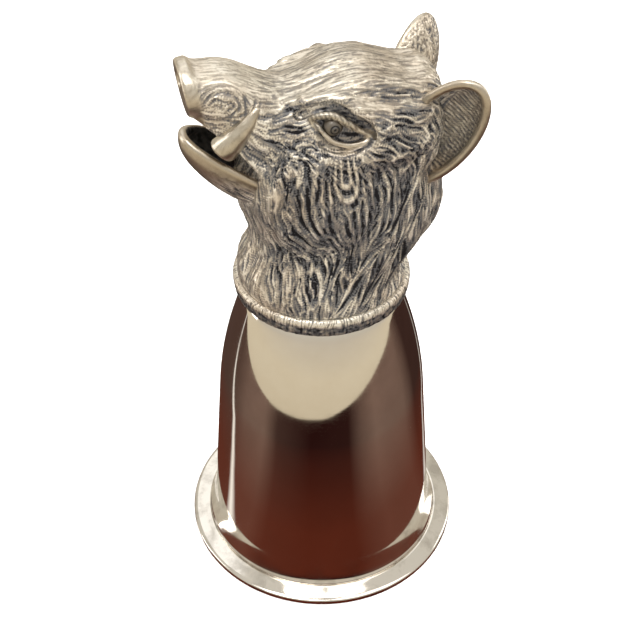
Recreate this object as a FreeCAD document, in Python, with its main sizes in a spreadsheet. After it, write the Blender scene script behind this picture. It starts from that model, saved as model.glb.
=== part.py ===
import FreeCAD, Part
import math
import os
import Sketcher

os.makedirs("parts", exist_ok=True)

# Stirrup cup that stands mouth down, with a boar's head for its foot.
# Millimetres, +Z up. The origin is at the centre of the rim's flat face.
# The head looks along -Y, and the boar's left side is +X.

# Rim band and the cup that is set in it
rim_radius = 43  # outer radius of the rim band
rim_edge = 1.7  # height of the band at its outer edge
rim_round = 0.5  # rounding of the band's outer edge
band_width = 5.5  # width of the band outside the cup's foot
band_height = 2.7  # height of the band beside the cup
band_bevel = 0.4  # bevel between the band and the cup
rebate_floor = 1.2  # height of the step that the cup's foot stands on
seat_gap = 0.1  # clearance round a soldered seat
foot_height = 2.1  # height of the foot's upright edge
cove_reach = 2.3  # how far the cove draws in from the foot
cove_rise = 6.7  # height of the cove above the foot's edge
taper_reach = 3.9  # how far the straight taper draws in
taper_rise = 48  # height of the straight taper
dome_rise = 35.1  # height of the dome above the taper
bevel_reach = 2.5  # how far the bevel round the crown draws in
bevel_rise = 2.5  # height of the bevel round the crown
crown_seat = 3.4  # width of the crown's flat under the collar
crown_thickness = 1.5  # thickness of the crown
cup_wall = 1  # thickness of the cup's wall

# Fixing through the crown
screw_radius = 2.5  # radius of the fixing screw
screw_clearance = 0.3  # clearance round the screw in plain holes
thread_clearance = 0.05  # clearance round the screw in its thread
screw_head_radius = 4.7  # radius of the screw's head
screw_head_height = 2.6  # height of the screw's head
screw_head_side = 0.6  # height of the upright side of the screw's head
screw_slot_width = 1.2  # width of the screwdriver slot
screw_slot_depth = 1.1  # depth of the screwdriver slot
screw_end = 1.5  # length of screw above the neck plate
washer_width = 5.2  # width of the washer inside the cup
washer_thickness = 1  # thickness of the washer inside the cup
seal_width = 5.7  # width of the seal on the crown
seal_thickness = 0.8  # thickness of the seal on the crown
boss_wall = 4.5  # wall of the neck plate's threaded boss
plate_thickness = 2.5  # thickness of the neck plate

# Collar between the cup and the head
spigot_radius = 19.8  # radius of the collar's spigot in the neck
spigot_wall = 2.8  # wall of the collar's spigot
spigot_height = 2.5  # height of the collar's spigot
collar_height = 6.2  # height of the collar
collar_under = 2.6  # rounding under the collar
collar_over = 1.4  # rounding over the collar

# Neck, as level oval rings from the collar up: step up from the ring below,
# place forward of the cup's axis, half length along the head, half width across it
neck_wall = 4  # wall of the neck round the spigot
waist_step = 6.5  # step up to the neck's waist
waist_in = 1.2  # how far the waist draws in from the collar
nape_step = 9  # step up to where the neck leans back
nape_forward = -5.5  # place of the neck where it leans back
nape_half_length = 25.3  # half length where the neck leans back
nape_half_width = 20.5  # half width where the neck leans back
throat_step = 11  # step up to the throat
throat_forward = -5.5  # place of the neck at the throat
throat_half_length = 28  # half length at the throat
throat_half_width = 20.5  # half width at the throat
cheek_step = 11.5  # step up to the cheeks
cheek_forward = -4.5  # place of the neck at the cheeks
cheek_half_length = 27  # half length at the cheeks
cheek_half_width = 19.5  # half width at the cheeks
skull_step = 13  # step up to the neck's end in the skull
skull_forward = -8  # place of the neck's end in the skull
skull_half_length = 20  # half length of the neck's end
skull_half_width = 15  # half width of the neck's end

# Head, as upright oval rings from the back to the nose: step forward from the ring
# behind, half width, and rise above the collar of the top line and the under line
occiput_back = 31  # place of the back of the skull behind the axis
occiput_half_width = 6  # half width of the back of the skull
occiput_top = 53  # rise of the top line at the back of the skull
occiput_under = 38  # rise of the under line at the back of the skull
poll_step = 8  # step forward to the poll between the ears
poll_half_width = 16.5  # half width of the poll
poll_top = 62  # rise of the top line at the poll
poll_under = 32  # rise of the under line at the poll
crest_step = 12  # step forward to the crest of the skull
crest_half_width = 20  # half width of the skull at its crest
crest_top = 65.5  # rise of the top line at the crest
crest_under = 27  # rise of the under line at the crest
brow_step = 10.5  # step forward to the brow
brow_half_width = 19.5  # half width of the head at the brow
brow_top = 64.6  # rise of the top line at the brow
brow_under = 27  # rise of the under line at the brow
stop_step = 11  # step forward to the dip before the brow
stop_half_width = 15.5  # half width of the head at the dip
stop_top = 61.5  # rise of the top line at the dip
stop_under = 33  # rise of the under line at the dip
muzzle_step = 11.5  # step forward to the muzzle at the mouth's corner
muzzle_half_width = 10.8  # half width of the muzzle
muzzle_top = 66.5  # rise of the top line of the muzzle
muzzle_under = 43  # rise of the under line of the muzzle
snout_step = 7  # step forward to the upper lip
snout_half_width = 9  # half width of the snout
snout_top = 68  # rise of the top line of the snout
snout_under = 51.5  # rise of the under line of the snout
nose_step = 4.6  # step forward to the end of the snout
nose_half_width = 8.6  # half width of the end of the snout
nose_top = 69.2  # rise of the top line at the end of the snout
nose_under = 56.5  # rise of the under line at the end of the snout

# Snout disc and nostrils, set on the end of the snout
disc_ahead = 0.5  # place of the disc's middle ahead of the snout's end
disc_half_width = 8.8  # half width of the snout disc
disc_half_height = 6.9  # half height of the snout disc
disc_thickness = 3.2  # thickness of the snout disc
disc_tilt = 6  # degrees that the snout disc faces down
nostril_spacing = 4  # place of each nostril beside the middle
nostril_radius = 2  # radius of each nostril
nostril_depth = 2.5  # depth of each nostril

# Main locks of hair, as swells that run along the neck, the skull and the jowls
lock_height = 0.9  # height of the locks over the hollows between them
neck_locks = 14  # count of locks round the neck
skull_locks = 12  # count of locks round the skull
jowl_locks = 10  # count of locks round each jowl

# Jowls, set on the cheeks
jowl_ahead = 5.5  # place of the jowls ahead of the cheeks' middle
jowl_inside = 8  # place of the jowls' middle inside the cheeks
jowl_below = 3.5  # place of the jowls' middle below the cheeks
jowl_half_length = 19  # half length of the jowls
jowl_half_width = 11  # half width of the jowls
jowl_half_height = 20  # half height of the jowls

# Eyes and their sockets, set in the head at the brow
eye_ahead = 1.5  # place of the eyes ahead of the brow
eye_inside = 5.1  # depth of the eyeballs' middle inside the brow's width
eye_below = 9.6  # place of the eyes below the brow's top line
eye_radius = 2.6  # radius of the eyeballs
socket_half_length = 8.6  # half length of the sockets
socket_half_height = 6.2  # half height of the sockets
socket_depth = 4.2  # depth of the sockets inside the brow's width

# Lower jaw, a scoop with its middle inside the head, and the tongue in it
jaw_behind = 7.2  # place of the jaw's middle behind the mouth's corner
jaw_below = 7  # place of the jaw's middle below the muzzle
jaw_wider = 1.2  # how much wider the jaw is than the muzzle, to each side
jaw_pitch = 33  # degrees that the jaw points up from level
jaw_length = 26  # length of the jaw from its middle to its tip
jaw_depth = 10.5  # depth of the jaw at its middle
jaw_wall = 1.7  # thickness of the jaw
tongue_length = 21  # length of the tongue from the jaw's middle
tongue_half_width = 4  # half width of the tongue
tongue_height = 4.5  # height of the tongue over the jaw's floor

# Tusks, from the muzzle up and back
tusk_root_ahead = 5.5  # place of the tusks' roots ahead of the mouth's corner
tusk_root_inside = 2.2  # depth of the tusks' roots inside the muzzle's width
tusk_root_above = 5.8  # place of the tusks' roots above the muzzle's under line
tusk_back = 8.5  # how far the tusks run back
tusk_out = 1.8  # how far the tusks run outward
tusk_up = 11  # how far the tusks run up
tusk_bow = 1.2  # bow of the tusks outward
tusk_root_radius = 3.3  # radius of the tusks' roots
tusk_tip_radius = 1.1  # radius of the tusks' tips

# Ears, as scooped ovals set in the poll
ear_behind = 3.4  # place of the ears' middle behind the poll
ear_inside = 2.7  # depth of the ears' middle inside the poll's width
ear_below = 15.2  # place of the ears' middle below the poll's top line
ear_half_length = 19.5  # half length of the ears
ear_half_width = 9.6  # half width of the ears
ear_depth = 7  # depth of the ears' backs
ear_wall = 1.6  # thickness of the ears
ear_pitch = 58  # degrees that the ears point up from level
ear_spread = 37  # degrees that the ears point out to the side
ear_turn = 32  # degrees that the ears' openings turn to the front

# Hollow of the cast head
head_wall = 4  # thickness of the cast head round its hollow

# Each size above has its own row and alias in the sheet
driving = {name: value for name, value in globals().items() if isinstance(value, (int, float))}
doc = FreeCAD.newDocument("StirrupCup")
sheet = doc.addObject("Spreadsheet::Sheet", "Sizes")
for row, (name, value) in enumerate(driving.items(), 1):
    sheet.set(f"A{row}", name.replace("_", " "))
    sheet.set(f"B{row}", str(value))
    sheet.setAlias(f"B{row}", name)

doc.recompute()


class Size:
    """A length with its value and the expression that ties it to the sheet"""

    def __init__(self, value, text):
        self.value = value
        self.text = text

    def joined(self, sign, other, value):
        return Size(value, f"({self.text} {sign} {other.text})")

    def __add__(self, other):
        return self.joined("+", other, self.value + other.value)

    def __sub__(self, other):
        return self.joined("-", other, self.value - other.value)

    def __mul__(self, other):
        return self.joined("*", other, self.value * other.value)

    def __truediv__(self, other):
        return self.joined("/", other, self.value / other.value)


def size(alias):
    """The named size from the sheet, for a sketch"""
    return Size(float(sheet.get(alias)), f"{sheet.Name}.{alias}")


def mm(alias):
    """The named size from the sheet, as a plain number"""
    return float(sheet.get(alias))


ZERO = Size(0, "0")
TWO = Size(2, "2")

# Heights and radii that several pieces share
foot_radius = size("rim_radius") - size("band_width") - size("seat_gap")
foot_top = size("rebate_floor") + size("foot_height")
cove_radius = foot_radius - size("cove_reach")
cove_top = foot_top + size("cove_rise")
shoulder_radius = cove_radius - size("taper_reach")
shoulder_top = cove_top + size("taper_rise")
taper = size("taper_reach") / size("taper_rise")
mouth_radius = cove_radius - size("cup_wall") + taper * (cove_top - size("rebate_floor"))
dome_top = shoulder_top + size("dome_rise")
crown_top = dome_top + size("bevel_rise")
crown_under = crown_top - size("crown_thickness")
collar_bore = size("spigot_radius") - size("spigot_wall")
crown_radius = collar_bore + size("crown_seat")
dome_radius = crown_radius + size("bevel_reach")
neck_bore = size("spigot_radius") + size("seat_gap")
neck_foot = size("spigot_radius") + size("neck_wall")
collar_top = crown_top + size("collar_height")
spigot_top = collar_top + size("spigot_height")
plate_top = spigot_top + size("plate_thickness")
washer_under = crown_under - size("washer_thickness")
hole_radius = size("screw_radius") + size("screw_clearance")
thread_radius = size("screw_radius") + size("thread_clearance")


def new_body(label):
    body = doc.addObject("PartDesign::Body", label)
    body.Label = label
    return body


def plane_of(body, role):
    """The body's own origin plane with this role"""
    return next(item for item in body.Origin.OriginFeatures if item.Role == role)


def bend_centre(start, direction, end):
    """Centre of the arc that leaves start along direction and passes through end"""
    normal = FreeCAD.Vector(-direction.y, direction.x, 0)
    chord = end - start
    return start + normal * (chord.Length ** 2 / (2 * normal.dot(chord)))


def arc_between(centre, start, end, leftward):
    """Arc about centre, and which of its ends lies at start"""
    circle = Part.Circle(centre, FreeCAD.Vector(0, 0, 1), (start - centre).Length)
    first, last = (start, end) if leftward else (end, start)
    angles = [math.atan2(point.y - centre.y, point.x - centre.x) for point in (first, last)]
    if angles[1] < angles[0]:
        angles[1] += 2 * math.pi
    return Part.ArcOfCircle(circle, angles[0], angles[1]), (1, 2) if leftward else (2, 1)


def add_outline(sketch, corners):
    """Close an outline through corners of (radius, height, edge to the next corner).
    An edge is a line, a bend_from that goes on from the edge before it,
    or a bend_into that runs smoothly into the edge after it."""
    count = len(corners)
    places = [FreeCAD.Vector(corner[0].value, corner[1].value, 0) for corner in corners]
    kinds = [corner[2] for corner in corners]
    headings = [(places[(i + 1) % count] - places[i]).normalize() for i in range(count)]
    ends = []
    for i, kind in enumerate(kinds):
        start, end = places[i], places[(i + 1) % count]
        if kind == "line":
            sketch.addGeometry(Part.LineSegment(start, end), False)
            ends.append((1, 2))
            continue
        if kind == "bend_from":
            centre = bend_centre(start, headings[i - 1], end)
        else:
            centre = bend_centre(end, headings[(i + 1) % count], start)
        leftward = (start - centre).cross(end - centre).z > 0
        arc, arc_ends = arc_between(centre, start, end, leftward)
        sketch.addGeometry(arc, False)
        ends.append(arc_ends)
    for i, kind in enumerate(kinds):
        after = (i + 1) % count
        smooth = kind == "bend_into" or kinds[after] == "bend_from"
        relation = "Tangent" if smooth else "Coincident"
        sketch.addConstraint(Sketcher.Constraint(relation, i, ends[i][1], after, ends[after][0]))
    for i, (radius, height, kind) in enumerate(corners):
        for axis, length in (("X", radius), ("Y", height)):
            if length is ZERO:
                line = -2 if axis == "X" else -1
                sketch.addConstraint(Sketcher.Constraint("PointOnObject", i, ends[i][0], line))
                continue
            limit = Sketcher.Constraint("Distance" + axis, -1, 1, i, ends[i][0], length.value)
            index = sketch.addConstraint(limit)
            sketch.setExpression(f"Constraints[{index}]", length.text)


def add_turned_body(label, corners):
    """A body turned about Z from an outline of radii and heights"""
    body = new_body(label)
    sketch = body.newObject("Sketcher::SketchObject", label + "_profile")
    sketch.AttachmentSupport = [(plane_of(body, "XZ_Plane"), "")]
    sketch.MapMode = "FlatFace"
    add_outline(sketch, corners)
    turned = body.newObject("PartDesign::Revolution", label + "_turned")
    turned.Profile = sketch
    turned.ReferenceAxis = (sketch, ["V_Axis"])
    turned.Angle = 360
    body.Tip = turned
    sketch.Visibility = False
    return body


def add_rim_flange():
    """Flat band round the mouth, with a rebate for the cup's foot"""
    rebate_radius = foot_radius + size("seat_gap")
    return add_turned_body("rim_flange", [
        (mouth_radius, ZERO, "line"),
        (size("rim_radius") - size("rim_round"), ZERO, "bend_from"),
        (size("rim_radius"), size("rim_round"), "line"),
        (size("rim_radius"), size("rim_edge") - size("rim_round"), "bend_from"),
        (size("rim_radius") - size("rim_round"), size("rim_edge"), "line"),
        (rebate_radius + size("band_bevel"), size("band_height"), "line"),
        (rebate_radius, size("band_height") - size("band_bevel"), "line"),
        (rebate_radius, size("rebate_floor"), "line"),
        (mouth_radius, size("rebate_floor"), "line"),
    ])


def add_cup_body():
    """Spun cup: foot, cove, straight taper, dome and flat crown with a screw hole"""
    wall = size("cup_wall")
    return add_turned_body("cup_body", [
        (foot_radius, size("rebate_floor"), "line"),
        (foot_radius, foot_top, "bend_into"),
        (cove_radius, cove_top, "line"),
        (shoulder_radius, shoulder_top, "bend_from"),
        (dome_radius, dome_top, "line"),
        (crown_radius, crown_top, "line"),
        (hole_radius, crown_top, "line"),
        (hole_radius, crown_under, "line"),
        (crown_radius - wall, crown_under, "line"),
        (dome_radius - wall, dome_top - wall / TWO, "bend_into"),
        (shoulder_radius - wall, shoulder_top, "line"),
        (mouth_radius, size("rebate_floor"), "line"),
    ])


def add_neck_collar():
    """Rounded collar on the crown, with a spigot that centres the neck"""
    outer = neck_foot + size("collar_over")
    return add_turned_body("neck_collar", [
        (collar_bore, crown_top, "line"),
        (outer - size("collar_under"), crown_top, "bend_from"),
        (outer, crown_top + size("collar_under"), "line"),
        (outer, collar_top - size("collar_over"), "bend_from"),
        (neck_foot, collar_top, "line"),
        (size("spigot_radius"), collar_top, "line"),
        (size("spigot_radius"), spigot_top, "line"),
        (collar_bore, spigot_top, "line"),
    ])


def add_neck_plate():
    """Plate soldered into the neck on top of the spigot, with a threaded boss"""
    boss_under = crown_top + size("seal_thickness")
    boss_radius = thread_radius + size("boss_wall")
    return add_turned_body("neck_plate", [
        (thread_radius, boss_under, "line"),
        (boss_radius, boss_under, "line"),
        (boss_radius, spigot_top, "line"),
        (size("spigot_radius"), spigot_top, "line"),
        (size("spigot_radius"), plate_top, "line"),
        (thread_radius, plate_top, "line"),
    ])


def add_washer(label, width, under, over):
    """Flat ring round the screw between two heights"""
    return add_turned_body(label, [
        (hole_radius, under, "line"),
        (hole_radius + width, under, "line"),
        (hole_radius + width, over, "line"),
        (hole_radius, over, "line"),
    ])


def add_fixing_screw():
    """Domed screw from inside the cup, up through the crown into the boss"""
    head_under = washer_under - size("screw_head_height")
    slot_half = size("screw_slot_width") / TWO
    side_under = washer_under - size("screw_head_side")
    body = add_turned_body("fixing_screw", [
        (ZERO, head_under, "line"),
        (slot_half, head_under, "bend_from"),
        (size("screw_head_radius"), side_under, "line"),
        (size("screw_head_radius"), washer_under, "line"),
        (size("screw_radius"), washer_under, "line"),
        (size("screw_radius"), plate_top + size("screw_end"), "line"),
        (ZERO, plate_top + size("screw_end"), "line"),
    ])
    slot = body.newObject("Sketcher::SketchObject", "screw_slot_outline")
    slot.AttachmentSupport = [(plane_of(body, "XZ_Plane"), "")]
    slot.MapMode = "FlatFace"
    add_outline(slot, [
        (slot_half, head_under - slot_half, "line"),
        (slot_half, head_under + size("screw_slot_depth"), "line"),
        (ZERO, head_under + size("screw_slot_depth"), "line"),
        (ZERO, head_under - slot_half, "line"),
    ])
    doc.recompute()
    whole = body.Shape.Volume
    half_cut = body.newObject("PartDesign::Pocket", "screw_slot_half")
    half_cut.Profile = slot
    half_cut.Type = 1
    half_cut.Midplane = True
    mirrored = body.newObject("PartDesign::Mirrored", "screw_slot")
    mirrored.Originals = [half_cut]
    mirrored.MirrorPlane = (plane_of(body, "YZ_Plane"), [""])
    body.Tip = mirrored
    slot.Visibility = False
    doc.recompute()
    if body.Shape.Volume >= whole:
        raise RuntimeError("The screwdriver slot cuts nothing")
    return body


def at(forward, beside, rise):
    """Point of the head: forward and beside its axis, and above the collar"""
    return FreeCAD.Vector(beside, -forward, collar_top.value + rise)


def oval(centre, along, across, half_along, half_across, locks=0, height=0):
    """Closed oval wire with half axes along and across, and locks that swell round it"""
    turn = FreeCAD.Placement(centre, FreeCAD.Rotation(along, across, along.cross(across), "XYZ"))
    steps = 4 * locks or 16
    ring = []
    for step in range(steps):
        angle = 2 * math.pi * step / steps
        swell = height / 2 * math.cos(locks * angle)
        ring.append(FreeCAD.Vector(
            (half_along + swell) * math.cos(angle),
            (half_across + swell) * math.sin(angle), 0))
    curve = Part.BSplineCurve()
    curve.interpolate([turn.multVec(point) for point in ring], PeriodicFlag=True)
    return Part.Wire([curve.toShape()])


def ellipsoid(centre, half_beside, half_forward, half_rise):
    """Ball stretched to three half axes"""
    stretch = FreeCAD.Matrix()
    stretch.scale(half_beside, half_forward, half_rise)
    ball = Part.makeSphere(1).transformGeometry(stretch)
    ball.translate(centre)
    return ball


def both_sides(shape):
    """The shape and its mirror image across the head's middle plane"""
    return [shape, shape.mirror(FreeCAD.Vector(0, 0, 0), FreeCAD.Vector(1, 0, 0))]


def largest(shape):
    """The largest solid of a shape that was cut"""
    return max(shape.Solids, key=lambda solid: solid.Volume)


NECK_NAMES = ["waist", "nape", "throat", "cheek", "skull"]
HEAD_NAMES = ["occiput", "poll", "crest", "brow", "stop", "muzzle", "snout", "nose"]
HAIRY_NAMES = ["poll", "crest", "brow"]
JOWL_LEVELS = [-0.97, -0.8, -0.5, 0, 0.5, 0.8, 0.97]


def neck_rise(name):
    """Rise of a neck ring above the collar"""
    return sum(mm(step + "_step") for step in NECK_NAMES[:NECK_NAMES.index(name) + 1])


def head_place(name):
    """Place of a head ring forward of the cup's axis"""
    steps = HEAD_NAMES[1:HEAD_NAMES.index(name) + 1]
    return sum(mm(step + "_step") for step in steps) - mm("occiput_back")


def neck_oval(rise, forward, half_length, half_width, locks=0, height=0):
    """Level oval ring round the neck"""
    ahead = FreeCAD.Vector(0, -1, 0)
    beside = FreeCAD.Vector(1, 0, 0)
    return oval(at(forward, 0, rise), ahead, beside, half_length, half_width, locks, height)


def neck_ring(name, inset, locks=0, height=0):
    """The named ring of the neck, drawn in by inset"""
    if name == "waist":
        half = neck_foot.value - mm("waist_in") - inset
        return neck_oval(neck_rise(name), 0, half, half, locks, height)
    half_length = mm(name + "_half_length") - inset
    half_width = mm(name + "_half_width") - inset
    forward = mm(name + "_forward")
    return neck_oval(neck_rise(name), forward, half_length, half_width, locks, height)


def head_ring(name):
    """Upright oval ring round the head, between its top line and its under line"""
    top = mm(name + "_top")
    under = mm(name + "_under")
    height = mm("lock_height") if name in HAIRY_NAMES else 0
    middle = at(head_place(name), 0, (top + under) / 2)
    beside = FreeCAD.Vector(1, 0, 0)
    upward = FreeCAD.Vector(0, 0, 1)
    half_width = mm(name + "_half_width")
    return oval(middle, beside, upward, half_width, (top - under) / 2, int(mm("skull_locks")), height)


def jowl():
    """Left jowl, as level ovals with locks round them"""
    middle_rise = neck_rise("cheek") - mm("jowl_below")
    forward = mm("cheek_forward") + mm("jowl_ahead")
    centre = at(forward, mm("cheek_half_width") - mm("jowl_inside"), middle_rise)
    ahead = FreeCAD.Vector(0, -1, 0)
    beside = FreeCAD.Vector(1, 0, 0)
    rings = []
    for share in JOWL_LEVELS:
        scale = math.sqrt(1 - share ** 2)
        middle = centre + FreeCAD.Vector(0, 0, share * mm("jowl_half_height"))
        rings.append(oval(
            middle, ahead, beside,
            scale * mm("jowl_half_length"), scale * mm("jowl_half_width"),
            int(mm("jowl_locks")), scale * mm("lock_height")))
    return Part.makeLoft(rings, True, False)


def snout_disc():
    """Oval disc on the end of the snout, and the holes of its two nostrils"""
    tilt = math.radians(mm("disc_tilt"))
    face = FreeCAD.Vector(0, -math.cos(tilt), -math.sin(tilt))
    upward = FreeCAD.Vector(0, -math.sin(tilt), math.cos(tilt))
    beside = FreeCAD.Vector(1, 0, 0)
    middle = at(head_place("nose") + mm("disc_ahead"), 0, (mm("nose_top") + mm("nose_under")) / 2)
    back_place = middle - face * mm("disc_thickness") / 2
    back = oval(back_place, beside, upward, mm("disc_half_width"), mm("disc_half_height"))
    disc = Part.Face(back).extrude(face * mm("disc_thickness"))
    holes = []
    for side in (-1, 1):
        mouth = middle + beside * side * mm("nostril_spacing") + face * mm("disc_thickness") / 2
        holes.append(Part.makeCylinder(mm("nostril_radius"), mm("nostril_depth"), mouth, face * -1))
    return disc, holes


def head_outside():
    """The head without its hollow, its sockets or its nostrils"""
    locks = int(mm("neck_locks"))
    rings = [neck_oval(0, 0, neck_foot.value, neck_foot.value, locks)]
    rings += [neck_ring(name, 0, locks, mm("lock_height")) for name in NECK_NAMES]
    neck = Part.makeLoft(rings, True, False)
    skull = Part.makeLoft([head_ring(name) for name in HEAD_NAMES], True, False)
    return neck.fuse([skull] + both_sides(jowl()) + [snout_disc()[0]])


def eye_place(inside):
    """Place of the left eye, at a depth inside the brow's width"""
    forward = head_place("brow") + mm("eye_ahead")
    rise = mm("brow_top") - mm("eye_below")
    return at(forward, mm("brow_half_width") - inside, rise)


def eye_balls():
    """Left and right eyeball, each with its pole outward"""
    outward = FreeCAD.Vector(1, 0, 0)
    return both_sides(Part.makeSphere(mm("eye_radius"), eye_place(mm("eye_inside")), outward))


def eye_sockets():
    """Oval hollows round the eyes, as deep as the socket from the brow's width"""
    half_sizes = mm("socket_depth"), mm("socket_half_length"), mm("socket_half_height")
    socket = ellipsoid(eye_place(0), *half_sizes)
    return both_sides(socket)


def head_hollow():
    """Bore for the spigot and the neck plate, and the hollow above it"""
    plate_depth = plate_top.value - collar_top.value
    bore = Part.makeCylinder(neck_bore.value, plate_depth, at(0, 0, 0))
    floor_radius = neck_bore.value - mm("seat_gap")
    rings = [neck_oval(plate_depth / 2, 0, floor_radius, floor_radius)]
    rings += [neck_ring(name, mm("head_wall")) for name in NECK_NAMES[1:]]
    return bore.fuse(Part.makeLoft(rings, True, False))


def add_shape(label, shape):
    """A piece whose form is set by its own rings and ovals"""
    piece = doc.addObject("Part::Feature", label)
    piece.Label = label
    piece.Shape = shape
    piece.Placement = FreeCAD.Placement()
    return piece


def add_head_shell(outside, eyes):
    """Cast head with its hollow, eye sockets and nostrils"""
    shell = outside.cut(eye_sockets() + snout_disc()[1])
    return add_shape("head_shell", shell.cut([head_hollow()] + eyes))


def placed(shape, centre, along, opening):
    """Shape turned so that its X runs along, its Z through the opening, and moved to centre"""
    turn = FreeCAD.Rotation(along, opening.cross(along), opening, "XYZ")
    shape.Placement = FreeCAD.Placement(centre, turn)
    return shape


def scoop_space(half_length, half_width, depth, wall):
    """Oval space inside a scoop"""
    return ellipsoid(FreeCAD.Vector(0, 0, 0), half_length - wall, half_width - wall, depth - wall)


def scoop(half_length, half_width, depth, wall):
    """Oval bowl, open upward, with its rim's middle at the origin"""
    below = Part.makeBox(
        2 * half_length, 2 * half_width, depth,
        FreeCAD.Vector(-half_length, -half_width, -depth))
    outer = ellipsoid(FreeCAD.Vector(0, 0, 0), half_length, half_width, depth).common(below)
    return outer.cut(scoop_space(half_length, half_width, depth, wall))


def jaw_directions():
    """Direction of the jaw's rim, and of its opening"""
    pitch = math.radians(mm("jaw_pitch"))
    along = FreeCAD.Vector(0, -math.cos(pitch), math.sin(pitch))
    return along, FreeCAD.Vector(0, math.sin(pitch), math.cos(pitch))


def jaw_sizes():
    """Length, half width, depth and wall of the jaw's scoop"""
    return mm("jaw_length"), mm("muzzle_half_width") + mm("jaw_wider"), mm("jaw_depth"), mm("jaw_wall")


def in_jaw(shape):
    """Shape moved from the jaw's own axes to its place in the head"""
    along, opening = jaw_directions()
    middle = at(head_place("muzzle") - mm("jaw_behind"), 0, mm("muzzle_under") - mm("jaw_below"))
    return placed(shape, middle, along, opening)


def add_lower_jaw(outside):
    """Trough of the lower jaw, from the head to its tip"""
    return add_shape("lower_jaw", largest(in_jaw(scoop(*jaw_sizes())).cut(outside)))


def add_tongue(outside):
    """Tongue that lies on the floor of the lower jaw"""
    floor = FreeCAD.Vector(0, 0, mm("jaw_wall") - mm("jaw_depth"))
    form = ellipsoid(floor, mm("tongue_length"), mm("tongue_half_width"), mm("tongue_height"))
    return add_shape("tongue", largest(in_jaw(form.common(scoop_space(*jaw_sizes()))).cut(outside)))


def tusk():
    """Left tusk, round and bowed outward, with a rounded tip"""
    root = at(
        head_place("muzzle") + mm("tusk_root_ahead"),
        mm("muzzle_half_width") - mm("tusk_root_inside"),
        mm("muzzle_under") + mm("tusk_root_above"))
    straight = FreeCAD.Vector(mm("tusk_out"), mm("tusk_back"), mm("tusk_up"))
    tip = root + straight
    outward = FreeCAD.Vector(1, 0, 0)
    stations = 5
    rings = []
    for station in range(stations):
        share = station / (stations - 1)
        centre = root + straight * share + outward * 4 * mm("tusk_bow") * share * (1 - share)
        heading = straight + outward * 4 * mm("tusk_bow") * (1 - 2 * share)
        radius = mm("tusk_root_radius") + (mm("tusk_tip_radius") - mm("tusk_root_radius")) * share
        rings.append(Part.Wire([Part.makeCircle(radius, centre, heading)]))
    return Part.makeLoft(rings, True, False).fuse(Part.makeSphere(mm("tusk_tip_radius"), tip))


def ear():
    """Left ear, scooped, pointing up and back, with its opening outward"""
    pitch = math.radians(mm("ear_pitch"))
    spread = math.radians(mm("ear_spread"))
    turn = math.radians(mm("ear_turn"))
    along = FreeCAD.Vector(
        math.cos(pitch) * math.sin(spread),
        math.cos(pitch) * math.cos(spread),
        math.sin(pitch))
    outward = FreeCAD.Vector(math.cos(turn), -math.sin(turn), 0)
    opening = (outward - along * outward.dot(along)).normalize()
    bowl = scoop(mm("ear_half_length"), mm("ear_half_width"), mm("ear_depth"), mm("ear_wall"))
    middle = at(
        head_place("poll") - mm("ear_behind"),
        mm("poll_half_width") - mm("ear_inside"),
        mm("poll_top") - mm("ear_below"))
    return placed(bowl, middle, along, opening)


def add_pair(name, shapes):
    """The left and the right piece of a pair"""
    return [add_shape(f"{side}_{name}", shape) for side, shape in zip(("left", "right"), shapes)]


def build():
    """All the pieces, from the rim up"""
    outside = head_outside()
    eyes = eye_balls()
    tusks = [largest(shape.cut(outside)) for shape in both_sides(tusk())]
    ears = [largest(shape.cut(outside)) for shape in both_sides(ear())]
    seal_top = crown_top + size("seal_thickness")
    return [
        add_rim_flange(),
        add_cup_body(),
        add_washer("cup_washer", size("washer_width"), washer_under, crown_under),
        add_fixing_screw(),
        add_washer("seal_washer", size("seal_width"), crown_top, seal_top),
        add_neck_collar(),
        add_neck_plate(),
        add_head_shell(outside, eyes),
        add_lower_jaw(outside),
        add_tongue(outside),
    ] + add_pair("eye", eyes) + add_pair("tusk", tusks) + add_pair("ear", ears)


def write(pieces):
    """Check every object and every piece, then write each piece to its file"""
    doc.recompute()
    for item in doc.Objects:
        if "Invalid" in item.State or "Error" in item.State:
            raise RuntimeError(f"{item.Label} failed to compute")
    for piece in pieces:
        if piece.Shape.isNull() or not piece.Shape.isValid():
            raise RuntimeError(f"{piece.Label} has no valid shape")
    for piece in pieces:
        piece.Shape.exportStep(f"parts/{piece.Label}.step")
        print(piece.Label, len(piece.Shape.Solids), round(piece.Shape.Volume, 1))


write(build())
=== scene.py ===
import bpy
import math
import numpy as np
from mathutils import Matrix, Vector


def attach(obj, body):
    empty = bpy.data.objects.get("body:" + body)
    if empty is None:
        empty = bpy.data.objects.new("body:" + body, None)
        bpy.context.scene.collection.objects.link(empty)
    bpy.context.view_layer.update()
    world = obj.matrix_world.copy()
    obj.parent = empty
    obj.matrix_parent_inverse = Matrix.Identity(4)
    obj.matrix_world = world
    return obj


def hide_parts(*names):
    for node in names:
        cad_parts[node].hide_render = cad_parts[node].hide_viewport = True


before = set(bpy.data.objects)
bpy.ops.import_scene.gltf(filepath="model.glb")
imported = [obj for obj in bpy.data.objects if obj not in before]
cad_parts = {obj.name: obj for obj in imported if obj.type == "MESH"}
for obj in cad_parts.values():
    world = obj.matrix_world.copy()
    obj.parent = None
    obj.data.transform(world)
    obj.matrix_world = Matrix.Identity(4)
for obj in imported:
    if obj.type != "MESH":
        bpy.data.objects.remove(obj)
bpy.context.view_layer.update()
MM = 0.001

# Head coordinates in this file: beside (the boar's left is +), ahead and up, in
# millimetres. They are +X, -Y and +Z of the part.
RNG = np.random.default_rng(1807)


# Small helpers
def smooth_union(a, b, k):
    h = np.clip(0.5 + 0.5 * (b - a) / k, 0, 1)
    return b * (1 - h) + a * h - k * h * (1 - h)


def smooth_cut(a, b, k):
    """a with b taken out of it"""
    return -smooth_union(-a, b, k)


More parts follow.
